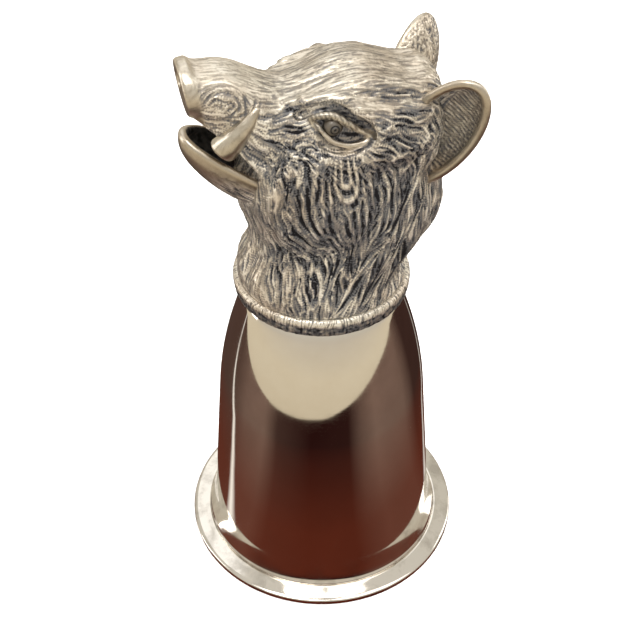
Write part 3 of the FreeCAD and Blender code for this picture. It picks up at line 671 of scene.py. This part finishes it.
def tongue_field(x, f, z):
    a, b, c = JAW_AXES(x, f, z)
    form = ellipsoid(a, b, c, (0, 0, -8.6), (21.0, 4.4, 4.6))
    groove = np.sqrt(b ** 2 + (c + 3.8) ** 2) - 0.8
    form = smooth_cut(form, groove, 0.8)
    space = ellipsoid(a, b, c, HOLLOW_CENTRE, (24.2, 10.2, 9.1))
    return off_head(np.maximum(form, space), x, f, z, 0.5)


TUSK_ROOT, TUSK_TIP = np.array((8.6, 27.5, 150.6)), np.array((10.4, 19.0, 161.6))
TUSK_BOW = 1.2


def tusk_field(x, f, z):
    """A horn that bows outwards, cut square just under its root"""
    share = np.linspace(0, 1, 16)
    bow = np.outer(4 * TUSK_BOW * share * (1 - share), (1, 0, 0))
    line = TUSK_ROOT + np.outer(share, TUSK_TIP - TUSK_ROOT) + bow
    radii = np.interp(share, [0, 0.25, 0.7, 1], [3.6, 3.1, 1.9, 0.9])
    axis = (TUSK_TIP - TUSK_ROOT) / np.linalg.norm(TUSK_TIP - TUSK_ROOT)
    over = sum((q - start) * part for q, start, part in zip((x, f, z), TUSK_ROOT, axis)) + 0.6
    return off_head(-smooth_union(-strand(x, f, z, line, radii, 0.3), over, 0.9), x, f, z, 0.5)


def tusk_relief(p, n):
    grain = NOISE(p * (2.2, 0.35, 0.35) + 70, 1.0)
    return grain * 0.06, 0.9 - 0.12 * np.clip(grain, 0, 1)


def eye_field(x, f, z):
    u, v, w = x - EYE[0], f - EYE[1], z - EYE[2]
    ball = np.sqrt(u * u + v * v + w * w) - EYE_RADIUS
    r = np.sqrt(v * v + w * w)
    ring = np.sqrt((r - 1.05) ** 2 + (u - 2.45) ** 2) - 0.22
    ball = smooth_cut(ball, ring, 0.12)
    pupil = np.sqrt(r * r + (u - 2.75) ** 2) - 0.42
    return smooth_cut(ball, pupil, 0.12)


def eye_relief(p, n):
    r = np.sqrt((p[:, 1] - EYE[1]) ** 2 + (p[:, 2] - EYE[2]) ** 2)
    front = p[:, 0] > EYE[0] + 1
    dark = np.exp(-((r - 1.05) / 0.22) ** 2) + np.exp(-(r / 0.4) ** 2)
    return np.zeros(len(p)), 0.50 - 0.42 * np.clip(dark, 0, 1) * front


def mirrored(made, name):
    """The same piece on the other side"""
    copy = made.copy()
    copy.data = made.data.copy()
    copy.name = copy.data.name = name
    copy.data.transform(Matrix.Scale(-1, 4, (1, 0, 0)))
    copy.data.flip_normals()
    bpy.context.scene.collection.objects.link(copy)
    return copy


# Turned pieces
def arc_to(start, heading, end, count):
    """Points on the arc that leaves start along heading and ends at end"""
    start, end = np.array(start, float), np.array(end, float)
    d = np.array(heading, float) / np.linalg.norm(heading)
    n = np.array((-d[1], d[0]))
    chord = end - start
    radius = chord.dot(chord) / (2 * n.dot(chord))
    centre = start + n * radius
    a0 = math.atan2(*(start - centre)[::-1])
    a1 = math.atan2(*(end - centre)[::-1])
    turn = (a1 - a0 + math.pi) % (2 * math.pi) - math.pi
    angles = a0 + turn * np.linspace(0, 1, count)
    return [(centre[0] + abs(radius) * math.cos(t), centre[1] + abs(radius) * math.sin(t)) for t in angles]


def lathe(name, outline, count, relief=None):
    """A piece turned about Z from a closed outline of (radius, height) in millimetres"""
    outline = np.array(outline, float)
    rows = len(outline)
    angle = np.linspace(0, 2 * math.pi, count, endpoint=False)
    r = np.repeat(outline[:, :1], count, 1)
    z = np.repeat(outline[:, 1:], count, 1)
    cavity = np.full(r.shape, 0.9)
    if relief is not None:
        r, z, cavity = relief(r, z, angle[None, :])
    points = np.stack([r * np.cos(angle), r * np.sin(angle), z], 2).reshape(-1, 3) * MM
    i = np.arange(rows)[:, None]
    j = np.arange(count)[None, :]
    a, b = i * count + j, i * count + (j + 1) % count
    c, d = ((i + 1) % rows) * count + (j + 1) % count, ((i + 1) % rows) * count + j
    quads = np.stack([a, b, c, d], 2).reshape(-1, 4)
    made = mesh_object(name, points, quads)
    set_value(made, "cavity", np.asarray(cavity).reshape(-1))
    return made


def spread(outline, most):
    """The outline with its long runs divided"""
    out = []
    for p, q in zip(outline, outline[1:] + outline[:1]):
        p, q = np.array(p, float), np.array(q, float)
        n = max(1, int(math.ceil(np.linalg.norm(q - p) / most)))
        out += [tuple(p + (q - p) * k / n) for k in range(n)]
    return out


def cup_outline():
    """Foot, cove, straight taper, dome and flat crown, and the same inside"""
    taper = np.array((31.2 - 35.1, 48.0))
    outer = [(37.2, 1.2), (37.4, 1.5), (37.4, 2.9), (37.25, 3.2)]
    cove = arc_to((35.1, 10.0), -taper, (37.1, 3.35), 14)[::-1]
    dome = arc_to((31.2, 58.0), taper, (22.9, 93.1), 26)
    bevel = arc_to((22.9, 93.1), np.array(dome[-1]) - np.array(dome[-2]), (20.4, 95.5), 8)
    outside = outer + cove + dome + bevel[1:] + [(20.2, 95.6), (2.8, 95.6)]
    inner_dome = arc_to((30.2, 58.0), taper, (21.9, 92.6), 22)
    inside = [(2.8, 94.1), (17.2, 94.1), (20.2, 93.8)] + inner_dome[::-1]
    return spread(outside + inside + [(34.1, 10.0), (34.6, 1.4), (34.9, 1.2)], 6.0)


def rim_outline():
    """Flat band round the mouth, with a rounded edge and a step for the cup's foot"""
    return spread([(34.8, 0.0), (42.6, 0.0), (42.9, 0.12), (43.0, 0.5), (43.0, 1.3), (42.9, 1.6), (42.6, 1.78),
                   (40.0, 2.25), (38.2, 2.62), (37.75, 2.7), (37.5, 2.55), (37.5, 1.2), (34.8, 1.2)], 1.2)


COLLAR_RADIUS = 25


def collar_relief(r, z, angle):
    """Fine leaning ticks on a pale upper band, and a rough dark edge under it"""
    def on_ring(turn, height):
        across, deep = np.cos(turn) * COLLAR_RADIUS, np.sin(turn) * COLLAR_RADIUS
        return np.stack([across, deep, height], 2).reshape(-1, 3)

    a = angle + 0 * r
    ring = on_ring(a, z)
    lean = 0.6 * NOISE(ring * (1, 1, 0), 7.0).reshape(r.shape)
    around = on_ring(a + lean * (z - 100) / COLLAR_RADIUS, z * 0.10)
    ticks = np.minimum(np.abs(NOISE(around, 0.72)).reshape(r.shape) / 0.42, 1.0)
    rough = NOISE(ring * (1, 1, 1.6) + 15, 1.3).reshape(r.shape)
    shown = eased(r, 23.5, 24.3) * eased(z, 95.7, 96.6)
    edge = 99.7 + 0.35 * NOISE(ring + 50, 2.5).reshape(r.shape)
    upper = eased(z - edge, -0.25, 0.25)
    low = 0.30 + 0.30 * np.clip(rough, -1, 1)
    rise = shown * (0.20 * (ticks - 0.8) * upper + (0.16 * rough - 0.16) * (1 - upper))
    cavity = 1 - shown * (1 - (0.38 + 0.62 * ticks) * upper - low * (1 - upper))
    return r + rise, z, cavity


def collar_outline():
    """Rounded bead with a spigot over it"""
    under = arc_to((22.6, 95.65), (1, 0), (25.2, 98.2), 12)
    over = arc_to((25.2, 100.2), (0, 1), (23.8, 101.7), 9)
    return spread([(17.0, 95.65)] + under + over + [(19.8, 101.75), (19.8, 104.2), (17.0, 104.2)], 0.45)


# Materials
def material(name, kind="ShaderNodeBsdfPrincipled"):
    """A new material, its node tree and its one shader"""
    made = bpy.data.materials.new(name)
    made.use_nodes = True
    tree = made.node_tree
    tree.nodes.clear()
    out = tree.nodes.new("ShaderNodeOutputMaterial")
    shader = tree.nodes.new(kind)
    tree.links.new(shader.outputs[0], out.inputs[0])
    return made, tree, shader


def node(tree, kind, inputs=(), **settings):
    made = tree.nodes.new(kind)
    for key, value in settings.items():
        setattr(made, key, value)
    for key, value in dict(inputs).items():
        feed(made.inputs[key], value)
    return made


def tree_of(*values):
    """The node tree that a socket among the values belongs to"""
    return next(value.id_data for value in values if isinstance(value, bpy.types.NodeSocket))


def feed(socket, value):
    if isinstance(value, bpy.types.NodeSocket):
        tree_of(socket).links.new(value, socket)
    else:
        socket.default_value = value


def calc(operation, *values):
    return node(tree_of(*values), "ShaderNodeMath", enumerate(values), operation=operation).outputs[0]


def vectors(operation, *values):
    return node(tree_of(*values), "ShaderNodeVectorMath", enumerate(values), operation=operation).outputs


def ramp(value, stops):
    """Colours along a value, straight between their places"""
    made = node(tree_of(value), "ShaderNodeValToRGB", {0: value})
    elements = made.color_ramp.elements
    while len(elements) < len(stops):
        elements.new(0.5)
    for element, (place, colour) in zip(elements, stops):
        element.position = place
        element.color = (*colour, 1)
    return made.outputs[0]


def grey(value, stops):
    return ramp(value, [(place, (level,) * 3) for place, level in stops])


def mixed(factor, a, b, mode="MIX"):
    a, b = [(*value, 1) if isinstance(value, tuple) else value for value in (a, b)]
    tree = tree_of(factor, a, b)
    return node(tree, "ShaderNodeMix", {0: factor, 6: a, 7: b}, data_type="RGBA", blend_type=mode).outputs[2]


def noise(place, scale, detail=4.0, rough=0.55):
    inputs = {"Vector": place, "Scale": scale, "Detail": detail, "Roughness": rough}
    return node(tree_of(place), "ShaderNodeTexNoise", inputs).outputs[0]


def object_place(tree):
    return node(tree, "ShaderNodeTexCoord").outputs["Object"]


def surface(shader, colour, metallic, roughness, height, strength, distance):
    """Colour, metal, roughness and fine relief of a shader"""
    inputs = {"Strength": strength, "Distance": distance, "Height": height}
    bump = node(tree_of(height), "ShaderNodeBump", inputs)
    for key, value in (("Base Color", colour), ("Metallic", metallic), ("Roughness", roughness),
                       ("Normal", bump.outputs[0])):
        feed(shader.inputs[key], value)


HAIR_STEP = 0.0007


def cast_silver():
    """Cast silver with dark oxide in its hollows, painted shade in the hollow round each eye, and rubbed
    bright on its ridges
    """
    made, tree, shader = material("cast_silver_patina")
    place = object_place(tree)
    cavity = node(tree, "ShaderNodeAttribute", attribute_name="cavity").outputs["Fac"]
    flow = node(tree, "ShaderNodeAttribute", attribute_name="flow").outputs["Vector"]
    broad = noise(place, 70.0, 3.0)
    fine = noise(place, 900.0, 5.0, 0.65)
    speck = noise(place, 2600.0, 3.0, 0.7)
    # fine hairs: noise averaged along the way the hair lies
    hairs = None
    for n in range(-3, 4):
        along = vectors("MULTIPLY_ADD", flow, (n * HAIR_STEP,) * 3, place)[0]
        one = noise(along, 1500.0, 0.0)
        hairs = one if hairs is None else calc("ADD", hairs, one)
    hairs = grey(calc("MULTIPLY", hairs, 1 / 7), [(0.455, 0.0), (0.545, 1.0)])
    shift = calc("MULTIPLY_ADD", fine, 0.24, -0.12)
    shift = calc("ADD", shift, calc("MULTIPLY_ADD", broad, 0.26, -0.13))
    presence = vectors("LENGTH", flow)["Value"]
    hairs = calc("MULTIPLY", calc("SUBTRACT", hairs, 0.5), presence)
    shift = calc("ADD", shift, calc("MULTIPLY", hairs, 0.42))
    level = calc("ADD", cavity, shift)
    colour = ramp(level, [
        (0.02, (0.022, 0.021, 0.024)), (0.16, (0.095, 0.098, 0.108)), (0.36, (0.22, 0.22, 0.225)),
        (0.58, (0.37, 0.335, 0.290)), (0.78, (0.68, 0.625, 0.53)), (0.96, (0.90, 0.85, 0.75))])
    stain = grey(broad, [(0.42, 0.0), (0.66, 1.0)])
    colour = mixed(calc("MULTIPLY", stain, 0.35), colour, (0.50, 0.36, 0.25), "MULTIPLY")
    dots = grey(speck, [(0.30, 0.55), (0.42, 1.0)])
    colour = mixed(0.6, colour, dots, "MULTIPLY")
    metallic = calc("MULTIPLY_ADD", presence, -0.15, 1.0)
    roughness = grey(level, [(0.1, 0.62), (0.5, 0.40), (0.95, 0.30)])
    roughness = calc("ADD", roughness, calc("MULTIPLY_ADD", speck, 0.14, -0.07))
    height = calc("ADD", calc("MULTIPLY", fine, 0.4), calc("MULTIPLY", speck, 0.2))
    height = calc("ADD", height, hairs)
    surface(shader, colour, metallic, roughness, height, 0.5, 0.00016)
    return made


def polished_silver():
    """Spun silver, polished, with faint wear rings and haze"""
    made, tree, shader = material("polished_silver")
    place = object_place(tree)
    broad = noise(place, 32.0, 2.0)
    cloud = noise(place, 120.0, 4.0)
    split = node(tree, "ShaderNodeSeparateXYZ", {0: place})
    stretch = vectors("MULTIPLY", place, (60.0, 60.0, 2600.0))[0]
    rings = noise(stretch, 1.0, 3.0, 0.6)
    haze = grey(cloud, [(0.35, 0.0), (0.75, 1.0)])
    colour = mixed(calc("MULTIPLY", haze, 0.35), (0.93, 0.90, 0.85), (0.84, 0.78, 0.69))
    low = grey(calc("MULTIPLY", split.outputs[2], 25.0), [(0.02, 1.0), (0.26, 0.0)])
    tarnish = calc("MULTIPLY", low, grey(cloud, [(0.45, 0.0), (0.62, 0.7)]))
    colour = mixed(tarnish, colour, (0.52, 0.49, 0.45))
    roughness = calc("MULTIPLY_ADD", haze, 0.05, 0.045)
    roughness = calc("ADD", roughness, calc("MULTIPLY_ADD", rings, 0.05, -0.02))
    roughness = calc("ADD", roughness, calc("MULTIPLY", tarnish, 0.12))
    height = calc("ADD", broad, calc("MULTIPLY", rings, 0.012))
    surface(shader, colour, 1.0, roughness, height, 0.25, 0.0006)
    return made


def plain_metal(name, bright, dull, roughness):
    made, tree, shader = material(name)
    place = object_place(tree)
    cloud = noise(place, 400.0, 4.0)
    roughness = calc("MULTIPLY_ADD", cloud, 0.15, roughness - 0.07)
    surface(shader, mixed(cloud, dull, bright), 1.0, roughness, cloud, 0.3, 0.0001)
    return made


def leather():
    made, tree, shader = material("seal_leather")
    place = object_place(tree)
    cells = node(tree, "ShaderNodeTexVoronoi", {"Vector": place, "Scale": 1100.0}).outputs["Distance"]
    cloud = noise(place, 300.0, 4.0)
    colour = mixed(cloud, (0.10, 0.055, 0.03), (0.20, 0.12, 0.07))
    surface(shader, colour, 0.0, calc("MULTIPLY_ADD", cells, 0.2, 0.6), cells, 0.5, 0.0001)
    return made


def dress(made, look):
    made.data.materials.clear()
    made.data.materials.append(look)


# The object
cast = cast_silver()
silver = polished_silver()
head = sculpted("boar_head", head_field, (-24.6, -36.6, 101.0), (24.6, 38.4, 174.0), 0.46,
                head_relief, head_flow, FOOT_Z)
ear = sculpted("left_ear_cast", ear_field, (5, -48, 130), (36, -12, 172), 0.42, ear_relief, ear_flow)
jaw = sculpted("lower_jaw_cast", jaw_field, (-14, 10, 122), (14, 40, 158), 0.42, jaw_relief, jaw_flow)
tongue = sculpted("tongue_cast", tongue_field, (-6, 12, 126), (6, 38, 152), 0.4)
tusk = sculpted("left_tusk_cast", tusk_field, (4, 14, 145), (18, 33, 165), 0.3, tusk_relief)
eye = sculpted("left_eye_cast", eye_field, (11, -2.4, 153.4), (18, 4.4, 160.2), 0.13, eye_relief)
far_ear, far_tusk = mirrored(ear, "right_ear_cast"), mirrored(tusk, "right_tusk_cast")
far_eye = mirrored(eye, "right_eye_cast")
collar = lathe("neck_collar_cast", collar_outline(), 760, collar_relief)
set_flow(collar, np.tile((0.0, 0.0, 0.75), (len(collar.data.vertices), 1)))
for made, name in ((head, "head_shell"), (ear, "left_ear"), (jaw, "lower_jaw"), (tongue, "tongue"),
                   (tusk, "left_tusk"), (eye, "left_eye"), (far_ear, "right_ear"), (far_tusk, "right_tusk"),
                   (far_eye, "right_eye"), (collar, "neck_collar")):
    dress(made, cast)
    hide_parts(name)
    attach(made, "root")

for made, name in ((lathe("cup_body_spun", cup_outline(), 256), "cup_body"),
                   (lathe("rim_flange_spun", rim_outline(), 256), "rim_flange")):
    dress(made, silver)
    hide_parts(name)
    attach(made, "root")

for name, look in (("cup_washer", plain_metal("plated_washer", (0.88, 0.86, 0.82), (0.62, 0.60, 0.56), 0.3)),
                   ("fixing_screw", plain_metal("plated_screw", (0.84, 0.82, 0.79), (0.52, 0.50, 0.47), 0.32)),
                   ("seal_washer", leather()),
                   ("neck_plate", plain_metal("brass_plate", (0.80, 0.62, 0.30), (0.48, 0.34, 0.15), 0.4))):
    dress(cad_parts[name], look)


# Camera
CAMERA_PLACE, CAMERA_LOOK = (0.2569, -0.0693, 0.3151), (-0.7251, 0.1943, -0.6607)
CAMERA_ROLL = math.radians(-0.13)


def aim(place, look, roll):
    look = Vector(look).normalized()
    right = look.cross(Vector((0, 0, 1))).normalized()
    up = right.cross(look)
    turn = Matrix((right, up, -look)).transposed() @ Matrix.Rotation(roll, 3, "Z")
    return Matrix.Translation(place) @ turn.to_4x4()


camera = bpy.data.objects.new("camera", bpy.data.cameras.new("camera"))
bpy.context.scene.collection.objects.link(camera)
camera.data.lens = 67.5
camera.data.sensor_width = 36
camera.data.clip_start = 0.01
camera.matrix_world = aim(CAMERA_PLACE, CAMERA_LOOK, CAMERA_ROLL)
bpy.context.scene.camera = camera


# Stage and light
def card(name, corners, look, *rays):
    """A flat piece of the stage that only the named kinds of rays see"""
    made = mesh_object(name, corners, [tuple(range(len(corners)))], smooth=False)
    dress(made, look)
    for kind in ("camera", "diffuse", "glossy", "transmission", "volume_scatter", "shadow"):
        setattr(made, "visible_" + kind, kind in rays)


def glow(name, colour, strength):
    """A light of its own, of one colour or of one made by a function of the node tree"""
    made, tree, shader = material(name, "ShaderNodeEmission")
    feed(shader.inputs["Strength"], strength)
    feed(shader.inputs["Color"], colour(tree) if callable(colour) else (*colour, 1))
    return made


def heading(angle):
    return (math.cos(angle), math.sin(angle), 0)


view_angle = math.atan2(-CAMERA_LOOK[1], -CAMERA_LOOK[0])


CUP_RADIUS = 0.035


def table_colour(tree):
    """Dark red brown wood for the cup to reflect, with soft streaks of painted sheen that run out from the cup
    """
    place = object_place(tree)
    split = node(tree, "ShaderNodeSeparateXYZ", {0: place})
    angle = calc("ARCTAN2", split.outputs[1], split.outputs[0])
    turn = calc("MULTIPLY_ADD", angle, 1 / (2 * math.pi), 0.5)
    bands = [(-180, 0.20), (-118, 0.25), (-98, 0.30), (-80, 0.65), (-56, 0.75), (-42, 0.15), (-10, 0.0),
             (25, 0.02), (38, 0.45), (52, 0.75), (88, 0.65), (106, 0.10), (150, 0.10)]
    middle = math.degrees(view_angle)
    stops = sorted((((degrees + middle) / 360 + 0.5) % 1, level) for degrees, level in bands)
    # painted sheen: window light on the table, in bands by angle round the cup
    painted_sheen = grey(turn, stops)
    grain = noise(place, 14.0, 4.0)
    reach = vectors("LENGTH", place)["Value"]
    near = mixed(painted_sheen, (0.100, 0.020, 0.010), (0.16, 0.060, 0.040))
    far = mixed(painted_sheen, (0.022, 0.006, 0.005), (0.26, 0.165, 0.125))
    away = grey(calc("MULTIPLY", reach, 4.0), [(0.24, 0.0), (0.44, 1.0)])
    colour = mixed(away, near, far)
    colour = mixed(0.35, colour, grey(grain, [(0.3, 0.55), (0.7, 1.0)]), "MULTIPLY")
    # painted reflections of windows in the table: bright lines that the cup's sides show upright, each along
    # the way its side reflects
    for degrees, half, level in ((-57, 0.0045, 1.0), (77, 0.004, 0.7)):
        side = view_angle + math.radians(degrees)
        way = side + math.radians(degrees)
        across = heading(way + math.pi / 2)
        middle = CUP_RADIUS * Vector(across).dot(Vector(heading(side)))
        off = vectors("DOT_PRODUCT", place, across)["Value"]
        off = calc("ABSOLUTE", calc("SUBTRACT", off, middle))
        line = grey(calc("MULTIPLY", off, 1 / half), [(0.1, level), (1.0, 0.0)])
        out = vectors("DOT_PRODUCT", place, heading(side))["Value"]
        ahead = vectors("DOT_PRODUCT", place, heading(way))["Value"]
        forward = calc("ADD", out, calc("MULTIPLY", ahead, 1.2))
        reached = grey(forward, [(0.0, 0.0), (0.02, 1.0)])
        colour = mixed(calc("MULTIPLY", line, reached), colour, (1.0, 0.93, 0.84))
    return colour


floor_look, tree, shader = material("pale_floor")
place = object_place(tree)
cloud = noise(place, 6.0, 2.0)
feed(shader.inputs["Base Color"], mixed(cloud, (0.86, 0.86, 0.85), (0.90, 0.90, 0.89)))
feed(shader.inputs["Roughness"], 0.9)
floor = [(-3, -3, 0), (3, -3, 0), (3, 3, 0), (-3, 3, 0)]
card("floor", floor, floor_look, "camera", "diffuse", "shadow")


def turned(x, y, z, angle):
    c, s = math.cos(angle), math.sin(angle)
    return (x * c - y * s, x * s + y * c, z)


def table_corner(degrees):
    """Corner of the table card, near in front of the cup and far behind it"""
    reach = flowing([0, 30, 60, 90, 120, 180], [0.170, 0.182, 0.238, 0.340, 0.42, 0.5], abs(degrees))
    return turned(float(reach), 0, -0.001, view_angle + math.radians(degrees - 22))


table_edge = [table_corner(degrees) for degrees in range(-180, 180, 6)]
card("table_reflection", table_edge, glow("table_glow", table_colour, 1.0), "glossy")


def strip(name, azimuth, distance, width, low, high, strength):
    """An upright bright strip that only shows in reflections"""
    x, half = distance, width / 2
    corners = [turned(x, y, z, azimuth) for y, z in ((-half, low), (half, low), (half, high), (-half, high))]
    card(name, corners, glow(name + "_glow", (1.0, 0.97, 0.92), strength), "glossy")


strip("left_window_reflection", view_angle - math.radians(97), 0.7, 0.16, 0.02, 0.9, 3.0)
strip("right_window_reflection", view_angle + math.radians(120), 0.8, 0.22, 0.0, 0.9, 2.2)


def lamp(name, place, size, power, colour, target=(0, 0, 0.09)):
    data = bpy.data.lights.new(name, "AREA")
    data.shape = "RECTANGLE"
    data.size, data.size_y = size
    data.energy = power
    data.color = colour
    made = bpy.data.objects.new(name, data)
    bpy.context.scene.collection.objects.link(made)
    made.location = place
    made.rotation_euler = (Vector(target) - Vector(place)).to_track_quat("-Z", "Y").to_euler()
    return made


lamp("key_light", (0.12, -0.30, 1.15), (0.5, 0.5), 3.2, (1.0, 0.98, 0.95))
lamp("fill_light", (0.20, 0.32, 1.15), (0.6, 0.6), 1.6, (1.0, 0.97, 0.93))
lamp("back_light", (-0.8, 0.1, 0.9), (0.9, 0.9), 1.4, (0.97, 0.98, 1.0))
# soft light from round about, which the polished cup doesn't show
for name, degrees, power in (("front_soft", 8, 8.6), ("right_soft", 110, 4.0), ("back_soft", 180, 5.0),
                             ("left_soft", -110, 1.6)):
    place = turned(0.72, 0, 0.42, view_angle + math.radians(degrees))
    soft = lamp(name, place, (0.5, 0.4), power, (1.0, 0.98, 0.96), (0, 0, 0.13))
    soft.visible_glossy = False

world = bpy.data.worlds.new("studio")
bpy.context.scene.world = world
world.use_nodes = True
tree = world.node_tree
tree.nodes.clear()
out = tree.nodes.new("ShaderNodeOutputWorld")
white = node(tree, "ShaderNodeBackground", {"Color": (1, 1, 1, 1)})
way = node(tree, "ShaderNodeSeparateXYZ", {0: node(tree, "ShaderNodeTexCoord").outputs["Generated"]})
room_colour = ramp(calc("MULTIPLY_ADD", way.outputs[2], 0.5, 0.5), [
    (0.0, (0.50, 0.41, 0.28)), (0.40, (0.66, 0.57, 0.42)), (0.52, (0.56, 0.50, 0.41)),
    (0.75, (0.56, 0.52, 0.44)), (1.0, (0.64, 0.60, 0.53))])
room = node(tree, "ShaderNodeBackground", {"Color": room_colour})
glossy = node(tree, "ShaderNodeLightPath").outputs["Is Glossy Ray"]
mix = node(tree, "ShaderNodeMixShader", {0: glossy, 1: white.outputs[0], 2: room.outputs[0]})
tree.links.new(mix.outputs[0], out.inputs[0])
bpy.context.scene.view_settings.view_transform = "Standard"
